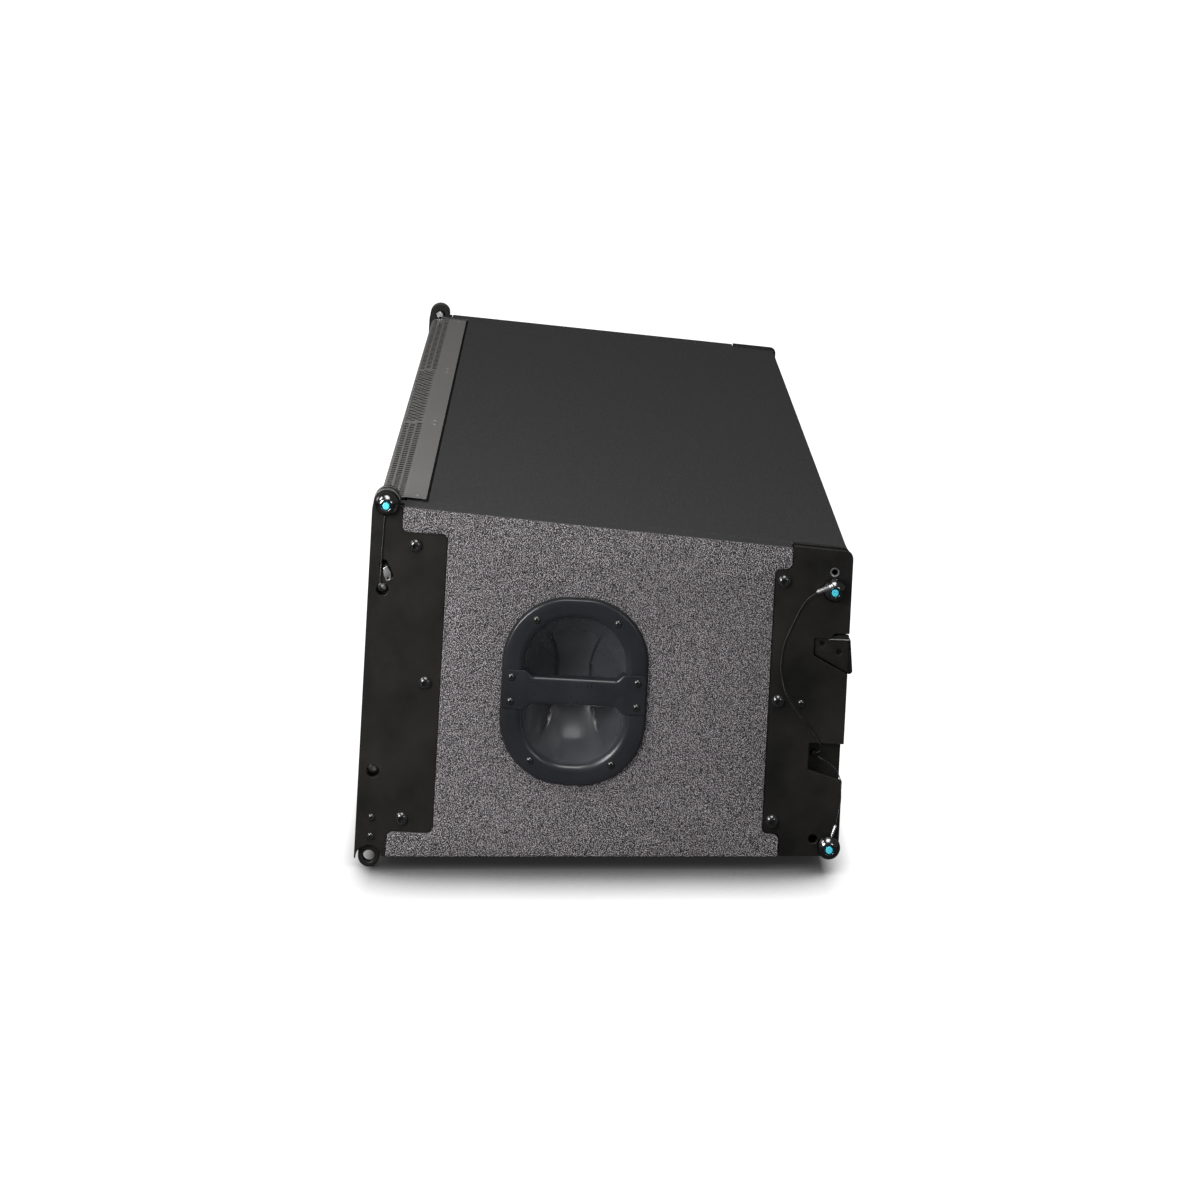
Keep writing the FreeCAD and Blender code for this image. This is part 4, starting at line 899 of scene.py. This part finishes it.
def make_plates():
    def tongue(bm):
        y, z = LUG
        half, top = 11.2, -125
        outline = arc(y, -z, half, 180, 360, 24) + [(y + half, top), (y - half, top)]
        holes = [circle(y, -z, 6.1, 40)]
        holes += [circle(u, v, SCREW_HOLE, 16) for u, v in TONGUE_SCREWS]
        add_slab(bm, outline, holes, ARM_BACK, ARM_FACE, 1.0)

    def arm(bm):
        front, rear, low, high = 467, 494, 18, 148
        outline = rounded([(front, low, 4), (rear, low, 4), (rear, 31.5, 0.5), (505, 29.0, 3.6),
                           (501, 66, 2), (rear, 66, 0), (rear, high, 6), (front, high, 6)])
        y, z = PINS["rear_top"]
        slot = arc(y, z, 6.15, 0, 180, 16) + arc(y, z - LIFT, 6.15, 180, 360, 16)
        holes = [slot, circle(*LINK_HOLE, LINK_RADIUS), circle(497.5, 57, 2.2, 20)]
        add_slab(bm, outline, holes, ARM_BACK, ARM_FACE, 0.8)

    outer, inner = (PLATE_BACK, PLATE_FACE), (INNER_BACK, INNER_FACE)
    plates = {
        "front_plate": (front_outline(), front_holes(OUTER_BOLT, True), *outer, 0.35, "X", 2),
        "front_inner_plate": (front_outline(), front_holes(INNER_BOLT, False), *inner, 0.35, "X", 2),
        "rear_plate": (rear_outline(499, True), rear_holes(OUTER_BOLT, True), *outer, 0.6),
        "rear_inner_plate": (rear_outline(497, False), rear_holes(INNER_BOLT, False), *inner, 0.5)}
    for name, shape in plates.items():
        both(lambda bm: add_slab(bm, *shape), name, ROOT, "rigging_steel", smooth_angle=12)
    both(tongue, "front_tongue", ROOT, "rigging_steel")
    both(arm, "rear_arm", "rear_arm_{side}_body", "rigging_steel")


def make_fasteners():
    def spacers(bm):
        for y, z in FRONT_BOLTS + REAR_BOLTS:
            add_slab(bm, circle(y, z, 9), [circle(y, z, OUTER_BOLT)], INNER_FACE, PLATE_BACK, 0.5)

    def bolts(bm):
        spots = [(PLATE_FACE, *spot) for spot in FRONT_BOLTS + REAR_BOLTS]
        fasteners(bm, spots, 7.0, 4.2, 2.6, 18)

    def screws(bm):
        spots = [(PLATE_FACE, *spot) for spot in TONGUE_SCREWS + [STOP_SCREW]]
        fasteners(bm, spots, 4.0, 2.4, 1.5, 18, count=24)
        anchors = [(INNER_FACE, *spot) for spot in (FRONT_ANCHOR, REAR_ANCHOR)]
        fasteners(bm, anchors, 4.0, 4.0, 1.7, 5, count=24)

    def handles(bm):
        spots = []
        for side in (-1, 1):
            for up in (-1, 1):
                spots.append((RIM_FACE - 0.4, HANDLE_Y + side * 65, up * 12.5))
                spots.append((RIM_FACE - 0.4, HANDLE_Y + side * 42, up * 72.6))
        fasteners(bm, spots, 3.9, 2.4, 1.4, 16, count=24)

    groups = {"rigging_spacers": (spacers, "rigging_steel"), "plate_bolts": (bolts, "black_screw"),
              "rigging_screws": (screws, "black_screw"), "handle_screws": (handles, "black_screw")}
    for name, (build, slot) in groups.items():
        pair = both(build, name, ROOT, slot, replaces=False)
        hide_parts(name)


def make_pins():
    """Pins with turned domed heads, buttons, rings and ferrules for the lanyards.

    A ferrule has a heading, a length, a width and the place of its start by the pin's seat."""
    dome = [(2.5, 8.0), (2.5, 11.0), (2.8, 11.7), (3.6, 12.0), (6.5, 12.0), (9.0, 11.4),
            (11.2, 10.1), (12.9, 8.2), (13.9, 6.6), (14.2, 5.8), (14.2, 5.2), (13.9, 4.8),
            (13.2, 4.7), (4.0, 4.7), (4.0, 0.0)]
    shaft = [(-25.0, 0.0), (-25.0, 4.6), (-24.4, 5.3), (-23.6, 5.6), (-22.8, 6.0), (-20.6, 6.0),
             (-20.2, 5.6), (-19.4, 5.6), (-19.0, 6.0), (-0.1, 6.0), (0.05, 6.4), (0.05, 8.0)]
    ferrules = {"front": ((0, -0.1, -1.0), 5, 1.0, (1.6, -0.9, -9.4)),
                "rear_top": ((-0.52, -0.86, -0.55), 20, 3.1, (15.5, -2.5, 7.5)),
                "rear_bottom": ((0, 0.3, 0.95), 13, 1.9, (1.8, 2.9, 9.0))}
    for name, (y, z) in PINS.items():
        def pin(bm):
            add_lathe(bm, (PLATE_FACE, y, z), shaft + dome, count=64)

        def ring(bm):
            ringed = [(PLATE_FACE + 1.4, *spot) for spot in circle(y, z, 9.3, 40)]
            add_tube(bm, ringed + ringed[:1], 1.0)
            heading, long, wide, offset = ferrules[name]
            way = Vector(heading).normalized()
            start = Vector((PLATE_FACE, y, z)) + Vector(offset)
            path = [start + way * k for k in (0, 1, 3, 4, long - 1, long)]
            add_tube(bm, path, [wide * k for k in (0.6, 0.9, 1, 0.9, 0.8, 0.5)], 16)

        def nose(bm):
            add_lathe(bm, (PLATE_FACE, y, z), [(-25.5, 0), (-25.5, 4.2), (-25.0, 4.9),
                                               (-24.2, 5.2), (-24.2, 0)], count=32)

        def button(bm):
            add_lathe(bm, (PLATE_FACE, y, z), [
                (7.5, 0), (7.5, 3.3), (7.9, 3.6), (14.6, 3.6), (15.15, 3.35), (15.4, 2.8),
                (15.5, 1.6), (15.3, 1.2), (15.3, 0)], count=40)

        body = f"pin_{name}_{{side}}_body"
        both(pin, f"pin_{name}", body, "pin_steel", smooth_angle=50)
        both(ring, f"pin_ring_{name}", body, "pin_steel", "bright_steel", replaces=False)
        both(nose, f"pin_nose_{name}", body, "pin_steel", "bright_steel", replaces=False)
        both(button, f"button_{name}", f"button_{name}_{{side}}_body", "button_blue")


def lanyard_paths():
    """Each wire from its ferrule, at the pin, to where it is held in the channel."""
    out, inside, low = PLATE_FACE + 1.6, PLATE_BACK, INNER_FACE + 5
    (fy, fz), (ty, tz), (by, bz) = PINS["front"], PINS["rear_top"], PINS["rear_bottom"]
    return {
        "front": [(out, fy - 1.4, fz - 14), (out, 13.0, 150), (out, 12.6, 128), (out, 12.6, 104),
                  (out, 12.8, 98), (inside + 1, 13.4, 94), (low, 14, 92)],
        "rear_top": [(out + 4.5, ty - 17.4, tz - 1.7), (out + 1, 452.0, 105.5),
                     (out, 445.0, 92.5), (out, 438.7, 77.7), (out, 431.9, 59.6),
                     (out, 429.9, 39.4), (out, 431.5, 25.2), (out + 4, 437, 8.3),
                     (out + 3, 450.5, -10.8), (out, 464.4, -27), (out, 475, -42.5),
                     (inside, 476, -49), (low, 472.5, -54)],
        "rear_bottom": [(out, by + 6.8, bz + 21.4), (out, 496.8, -112), (out, 498.4, -100),
                        (out, 498.2, -88), (out - 3, 497.5, -78), (inside, 490, -66),
                        (low, 473, -57)],
    }


def make_lanyards():
    """Each wire, a tube along its path from its pin to where the cabinet holds it."""
    for name, path in lanyard_paths().items():
        for side, sign in SIDES.items():
            bm = bmesh.new()
            add_tube(bm, smooth_path(path, 10), 0.55, 12)
            if sign < 0:
                flip_x(bm)
            item = mesh_object(f"lanyard_{name}_{side}", bm, 60)
            item.data.materials.append(MATERIALS["wire_rope"])
            ends = [STAND @ Vector((sign * p[0], p[1], p[2])) for p in (path[-1], path[0])]
            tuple(ends[0])
            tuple(ends[1])
            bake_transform(item)
    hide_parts("lanyards")


def make_small_parts():
    def detents(bm):
        """A domed plug at the bottom of each index hole."""
        dome = [(0, 0), (0, 5.6), (2.0, 5.6), (3.6, 4.9), (4.8, 3.4), (5.3, 1.4), (5.4, 0)]
        for z in (INDEX_HIGH, -INDEX_HIGH):
            add_lathe(bm, (INNER_FACE, LUG[0], z), dome, count=32)

    def guard(bm):
        """The guard that fills the upper notch in the outer plate, in front of the arm."""
        outline = [(463.7, 67.2, 0), (499.0, 71.8, 2), (499.0, 32.4, 0), (463.7, 50.2, 3)]
        holes = [circle(489.3, 53.5, 2.8, 20), circle(471.5, 61.5, 2.6, 20)]
        add_slab(bm, rounded(outline), holes, PLATE_BACK + 0.2, PLATE_FACE - 2.2, 0.4)

    def lug_edge_highlights(bm):
        """Thin pale lines round the top edges of the front lugs: painted highlights along the edges."""
        for level in (PLATE_FACE - 0.3, PLATE_BACK + 0.3, INNER_FACE - 0.3):
            rim = [(level, *spot) for spot in arc(*LUG, 13.9, 15, 165, 24)]
            add_tube(bm, rim, 0.3, 8)

    def eyelet(bm):
        """A thin turned ring in the link hole."""
        ring = [(0.3, 3.2), (0.3, 4.0), (4.9, 4.0), (4.9, 4.9), (5.5, 4.7), (5.6, 4.2),
                (5.3, 3.4), (4.8, 3.2), (0.3, 3.2)]
        add_lathe(bm, (PLATE_BACK, *LINK_HOLE), ring, count=32)

    def stay(bm):
        """A short bright wire across the upper notch: a painted highlight for the light on the arm tab's top edge.
        """
        path = [(PLATE_FACE - 1.5, 478 + k, 66.1 + 0.02 * k) for k in range(0, 22, 3)]
        add_tube(bm, path, 0.55, 10)

    def clip(bm):
        """The bright spring clip held by the screw in the slot below the front pin."""
        top, low = (Vector(end) for end in ANCHOR_SLOT)
        along = (low - top).normalized()
        across = Vector((-along.y, along.x))
        middle = Vector(FRONT_ANCHOR)

        def turn(points):
            return [tuple(middle + along * u + across * v) for u, v in points]

        tongue = rounded([(-4, -2.6, 1), (3, -4.4, 1), (10.5, -4.6, 2), (10.5, 0.6, 2),
                          (3, 3.2, 1), (-4, 2.4, 1)])
        add_slab(bm, turn(tongue), [turn(circle(7.6, -1.9, 1.3, 16))], PLATE_FACE + 0.05,
                 PLATE_FACE + 0.95, 0.25)

    for build, name, slot, material in (
            (detents, "index_detents", "black_screw", "bright_steel"),
            (guard, "notch_guard", "rigging_steel", "rigging_steel"),
            # Painted highlights: pale lines along the lug edges.
            (lug_edge_highlights, "lug_highlight_lines", "rigging_steel", "grille_steel"),
            (eyelet, "link_eyelet", "pin_steel", "bright_steel"),
            # Painted highlight: a bright wire where the arm tab's top edge catches the light.
            (stay, "notch_highlight_wire", "pin_steel", "bright_steel"),
            (clip, "anchor_clip", "pin_steel", "bright_steel")):
        both(build, name, ROOT, slot, material, replaces=False)


# ---------------------------------------------------------------- handles

SEAT_HALF = 20.35


def ring_outline(half_u, half_v, radius, corner=14):
    """A rounded rectangle with the same number of points whatever its size.

    Its straight sides have close pairs of points where the seats for the grip begin."""
    points = []
    seat = (-SEAT_HALF - 0.15, -SEAT_HALF, -10, 0, 10, SEAT_HALF, SEAT_HALF + 0.15)
    for k, (su, sv) in enumerate(((1, -1), (1, 1), (-1, 1), (-1, -1))):
        start = 90 * (k - 1)
        points += arc(su * (half_u - radius), sv * (half_v - radius), radius,
                      start, start + 90, corner)
        if k == 0:
            points += [(half_u, v) for v in seat]
        elif k == 2:
            points += [(-half_u, -v) for v in seat]
    return points


def ease(low, high, value):
    """0 below low, 1 above high, and a smooth step between."""
    t = max(0.0, min(1.0, (value - low) / (high - low)))
    return t * t * (3 - 2 * t)


def cup_depth(u, v, scale):
    """A smooth bowl, 0 deep at its mouth (scale 1), with a crease either side of its middle."""
    bowl = 53.0 * max(0.0, 1 - scale ** 2.5) ** 0.8
    crease = 18 + 0.2 * max(0.0, abs(v) - 14) + 0.004 * max(0.0, abs(v) - 20) ** 2
    across = abs(u) - crease
    groove = 3.2 * math.exp(-(across / 1.5) ** 2) - 5.0 * ease(0, 12, across)
    return max(0.0, bowl + groove * min(1.0, 4 * (1 - scale)))


def build_handle_cup(bm):
    """A flat rim with a rolled lip and two seats for the grip, and the bowl inside it."""
    outer = ring_outline(RIM_WIDE, RIM_LONG, RIM_RADIUS, 34)
    mouth = ring_outline(53, 76, 50, 34)
    flat, edge = RIM_FACE - 0.2, 0.66
    rim = [(0.0, SIDE_FACE), (0.0, RIM_FACE - 2.6), (0.012, RIM_FACE - 1.3),
           (0.04, RIM_FACE - 0.4), (0.09, RIM_FACE), (0.4, RIM_FACE - 0.1), (edge, flat)]
    for degrees in range(12, 91, 13):
        turn = math.radians(degrees)
        rim.append((edge + (1 - edge) * math.sin(turn), flat - 5.4 * (1 - math.cos(turn))))
    wall, lip = 2.2, rim[-1][1]

    def seated(level, u, v):
        on_seat = abs(v) <= SEAT_HALF + 0.01 and abs(u) > 40
        return min(level, RIM_FACE - 2.1) if on_seat else level

    loops = []
    for share, level in rim:
        ring = [(a[0] + (b[0] - a[0]) * share, a[1] + (b[1] - a[1]) * share)
                for a, b in zip(outer, mouth)]
        loops.append([(seated(level, u, v), u, v) for u, v in ring])
    scales = [1 - k / 44 for k in range(1, 44)]
    for scale in scales:
        loops.append([(seated(lip - cup_depth(u * scale, v * scale, scale), u, v),
                       u * scale, v * scale) for u, v in mouth])
    behind = [[(lip - wall - cup_depth(u * scale, v * scale, scale),
                u * scale * 1.03, v * scale * 1.03) for u, v in mouth]
              for scale in reversed(scales)]
    back = [[(lip - wall, u * 1.04, v * 1.03) for u, v in mouth]]

    def skin(rings):
        made = [[bm.verts.new((x, u + HANDLE_Y, v)) for x, u, v in ring] for ring in rings]
        bridge(bm, made)
        return made

    front = skin(loops)
    rear = skin(behind + back)
    for ring, level in ((front[-1], lip - cup_depth(0, 0, 0)),
                        (rear[0], lip - wall - cup_depth(0, 0, 0))):
        bridge(bm, [ring, [bm.verts.new((level, HANDLE_Y, 0))]])
    bridge(bm, [front[0], rear[-1]])


def build_handle_bar(bm):
    """One moulding: a wide flat plate let into the rim at each end and a deep grip between."""
    reach, face = RIM_WIDE - 0.4, RIM_FACE + 0.05
    stations = [reach, reach - 0.3, 70, 66, 62, 58, 55, 53.5, 53, 52.5, 52, 51, 50, 49, 48, 47,
                46, 45, 44, 43, 42, 41, 38, 30, 20, 10]
    stations = [-y for y in stations] + [0] + stations[::-1]
    rings = []
    for y in stations:
        away = abs(y)
        grip = 1 - ease(41, 52.5, away)
        half = 20 - 6.2 * grip - (0.3 if away == reach else 0)
        thick = 1.95 + 14.5 * (1 - ease(50.5, 53.2, away))
        front = 0.25 + 3.2 * (1 - ease(44, 54, away))
        rear = min(thick * 0.45, 0.4 + 5.0 * grip)
        top = face - 0.5 * grip * math.cos(math.pi * y / 110)
        ring = []
        turns = [math.radians(a) for a in range(0, 91, 15)]
        for side in (1, -1):
            fronts = [(top - front * (1 - math.cos(a)), side * (half - front * (1 - math.sin(a))))
                      for a in turns]
            rears = [(top - thick + rear * (1 - math.sin(a)),
                      side * (half - rear * (1 - math.cos(a)))) for a in turns]
            ring += fronts + rears if side > 0 else rears[::-1] + fronts[::-1]
        rings.append([bm.verts.new((x, HANDLE_Y + y, z)) for x, z in ring])
    bridge(bm, rings)
    bm.faces.new(rings[0])
    bm.faces.new(rings[-1])


def make_handles():
    # Painted shade: a thin black rubber ring round the rim, standing for the shadow in the gap at its edge.
    def rim_shade_ring(bm):
        outer, inner = (
            [(u + HANDLE_Y, v) for u, v in ring_outline(RIM_WIDE + k, RIM_LONG + k, RIM_RADIUS + k)]
            for k in (1.5, 0.1))
        add_slab(bm, outer, [inner], SIDE_FACE - 0.3, SIDE_FACE + 0.7, 0.15)

    both(build_handle_cup, "handle_cup", ROOT, "handle_plastic", "cup_plastic", smooth_angle=60)
    both(rim_shade_ring, "handle_rim_shade", ROOT, "surround_rubber", replaces=False)
    both(build_handle_bar, "handle_bar", ROOT, "handle_plastic")


# ---------------------------------------------------------------- drivers, seen through the grille

def make_woofers():
    def cone(bm):
        neck, coil = 102.2, 29.5
        profile = [(90.0, 0.0), (91.5, 10), (95, 19), (neck, coil)]
        for k in range(1, 13):
            share = k / 12
            along = neck - 39.5 * share ** 1.25
            profile.append((along + 0.5 * (k % 2), coil + 87.5 * share))
        profile += [(63.6, 117.6), (104.5, 32), (124, 32), (124, 30.5), (105.5, 30.5),
                    (97, 18), (93, 0.0)]
        add_lathe(bm, (WOOFER_X, 0, 0), profile, "Y", 72)

    def surround(bm):
        middle = 125.6
        roll = [(62 - 6 * math.sin(math.radians(a)), middle - 7 * math.cos(math.radians(a)))
                for a in range(0, 181, 15)]
        under = [(along + 0.9, middle + (radius - middle) * 0.9)
                 for along, radius in reversed(roll)]
        add_lathe(bm, (WOOFER_X, 0, 0), roll + under + roll[:1], "Y", 72)

    both(cone, "woofer_cone", "woofer_cone_{side}_body", "cone_paper")
    both(surround, "woofer_surround", ROOT, "surround_rubber", smooth_angle=60)


# ---------------------------------------------------------------- rear connectors

def make_connectors():
    margin, half, flange_face = 6, 14.5, WOOD_REAR + 2.4
    corners = [(x, z) for x in (margin - INPUT_HALF, INPUT_HALF - margin)
               for z in (INPUT_LOW + margin, INPUT_HIGH - margin)]

    def panel(bm):
        outline = box_outline(-INPUT_HALF, INPUT_HALF, INPUT_LOW, INPUT_HIGH, 4)
        holes = [circle(x, SOCKET_HIGH, 12.3) for x in SOCKETS]
        holes += [circle(x, z, 2.1, 16) for x, z in corners]
        add_slab(bm, outline, holes, WOOD_REAR - 3, WOOD_REAR, 0.5, "Y")

    def sockets(bm):
        shell = [(-32, 0.0), (-32, 11.5), (-0.2, 12.0), (2.0, 12.0), (3.0, 11.4), (3.0, 9.9),
                 (2.4, 9.5), (-16, 9.5), (-16, 5.2), (1.2, 5.2), (1.6, 4.6), (1.6, 2.4),
                 (-6, 2.4), (-6, 0.0)]
        for x in SOCKETS:
            flange = box_outline(x - half, x + half, SOCKET_HIGH - half, SOCKET_HIGH + half, 4)
            add_slab(bm, flange, [circle(x, SOCKET_HIGH, 11)], WOOD_REAR, flange_face, 0.5, "Y")
            add_lathe(bm, (x, WOOD_REAR, SOCKET_HIGH), shell, "Y", 48)

    def screws(bm):
        spots = [(x, WOOD_REAR, z) for x, z in corners]
        spots += [(x + shift, flange_face, SOCKET_HIGH - shift) for x in SOCKETS
                  for shift in (-11, 11)]
        fasteners(bm, spots, 3.2, 1.6, 1.3, 3, "Y", count=20)

    single(panel, "input_panel", "input_plate")
    single(sockets, "connector_sockets", "socket_plastic")
    single(screws, "input_panel_screws", "black_screw", replaces=False)


# ---------------------------------------------------------------- carried-over CAD nodes

def dress_cad_nodes():
    """CAD nodes that stay in view inside the cabinet take their slot's full material."""
    slots = {row["node"]: row["material_slot"] for row in frame["record"]["subparts"]}
    for name, item in frame["nodes"].items():
        if not item.hide_render:
            item.data.materials.clear()
            item.data.materials.append(MATERIALS[slots[name]])


# ---------------------------------------------------------------- floor, light and camera

def make_stage():
    """A pale floor that the camera sees as white, with a painted soft shadow close to the cabinet; in reflections
    it shows a dim grey, a painted reflection.
    """
    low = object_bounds()[0].z
    bm = bmesh.new()
    bmesh.ops.create_grid(bm, x_segments=1, y_segments=1, size=60)
    mesh = bpy.data.meshes.new("floor")
    bm.to_mesh(mesh)
    bm.free()
    floor = link("floor", mesh)
    floor.location.z = low - 0.0005
    nodes = Nodes("floor_white")
    nodes.finish(nodes.ramp(nodes.noise(3, 2), [(0.3, grey(0.60)), (0.7, grey(0.62))]),
                 Roughness=1.0, Specular_IOR_Level=0.0)
    rays = nodes.add("ShaderNodeLightPath").outputs
    # Painted shadow: ambient occlusion darkens the floor the camera sees close to the cabinet; past the cabinet's
    # front and rear ends the floor is plain white.
    shadow_occlusion = nodes.add("ShaderNodeAmbientOcclusion", samples=16, Distance=0.12)
    painted_contact_shadow = nodes.ramp(shadow_occlusion.outputs["AO"], [
        (0.10, grey(0.02)), (0.53, grey(0.10)), (0.65, grey(0.33)), (0.766, grey(0.67)),
        (0.87, grey(0.92)), (0.97, grey(1.2))])
    shadow_cutoff = nodes.span(nodes.distance("Y"), 0.232, 0.275, 0.0, 1.0)
    bright = nodes.add("ShaderNodeEmission")
    nodes.join(nodes.mix(shadow_cutoff, painted_contact_shadow, grey(1.2)), bright.inputs["Color"])
    # Painted reflection: glossy rays see the floor as a dim grey.
    dim_floor_reflection = nodes.add("ShaderNodeBsdfDiffuse", Color=(0.05, 0.05, 0.05, 1))
    seen = nodes.shader.outputs["BSDF"]
    for ray, shader in (("Is Camera Ray", bright), ("Is Glossy Ray", dim_floor_reflection)):
        mix = nodes.add("ShaderNodeMixShader")
        nodes.join(rays[ray], mix.inputs[0])
        nodes.join(seen, mix.inputs[1])
        nodes.join(shader.outputs[0], mix.inputs[2])
        seen = mix.outputs["Shader"]
    nodes.join(seen, nodes.tree.nodes["Material Output"].inputs["Surface"])
    floor.data.materials.append(nodes.material)


def add_light(name, place, target, size, power):
    data = bpy.data.lights.new(name, "AREA")
    data.shape = "RECTANGLE"
    data.size, data.size_y = size
    data.energy = power
    item = link(name, data)
    item.location = place
    item.rotation_euler = (Vector(target) - Vector(place)).to_track_quat("-Z", "Y").to_euler()


def make_lights():
    """A wide soft sky over a pale floor, and boxes of light for the highlights."""
    scene = bpy.context.scene
    scene.view_settings.view_transform = "Standard"
    world = bpy.data.worlds.new("studio")
    world.use_nodes = True
    background = world.node_tree.nodes["Background"]
    background.inputs["Color"].default_value = (1, 1, 1, 1)
    background.inputs["Strength"].default_value = 0.12
    scene.world = world
    sky = bpy.data.lights.new("sky", "SUN")
    sky.energy = 0.8
    sky.angle = math.radians(30)
    item = link("sky", sky)
    item.rotation_euler = Vector((0.2, 0, 1)).to_track_quat("Z", "Y").to_euler()
    middle = (0.5, 0, 0.18)
    add_light("key", (1.35, -0.75, 0.65), middle, (0.45, 0.45), 13)
    add_light("kicker", (0.85, -1.2, 1.3), middle, (0.25, 0.6), 7)
    add_light("overhead", (1.5, 0.1, 2.0), middle, (1.0, 1.0), 16)
    add_light("fill", (2.6, 1.5, 1.1), middle, (0.5, 0.5), 8)
    add_light("front", (-1.5, -3.4, 1.6), (0, 0, 0.18), (2.0, 1.2), 16)


def make_camera():
    """Square on to the right side, some way out and well above it, with the lens shifted down.

    The shift holds only while the camera stands at its own place: moved elsewhere, it looks
    straight along its axis."""
    distance, along, height = 2.85, 0.2303, 1.059
    side = SIDE_FACE * MM
    corner = STAND @ Vector((SIDE_FACE, 0, -HALF_HEIGHT))
    camera = bpy.data.cameras.new("camera")
    camera.sensor_width = 36
    camera.lens = 82.9
    camera.clip_end = 200
    item = link("camera", camera)
    item.location = (side + distance, corner.y + along, height)
    item.rotation_euler = (math.pi / 2, 0, math.pi / 2)
    bpy.context.scene.camera = item
    for name, shift in (("shift_x", 0.0192), ("shift_y", -0.6417)):
        driver = camera.driver_add(name).driver
        driver.type = "SCRIPTED"
        place = driver.variables.new()
        place.name = "x"
        place.type = "TRANSFORMS"
        place.targets[0].id = item
        place.targets[0].transform_type = "LOC_X"
        place.targets[0].transform_space = "WORLD_SPACE"
        driver.expression = f"{shift} if abs(x - {item.location.x:.5f}) < 0.001 else 0"


def main():
    make_cabinet()
    make_grille()
    make_foam()
    make_plates()
    make_fasteners()
    make_pins()
    make_lanyards()
    make_small_parts()
    make_handles()
    make_woofers()
    make_connectors()
    dress_cad_nodes()
    make_stage()
    make_lights()
    make_camera()


main()
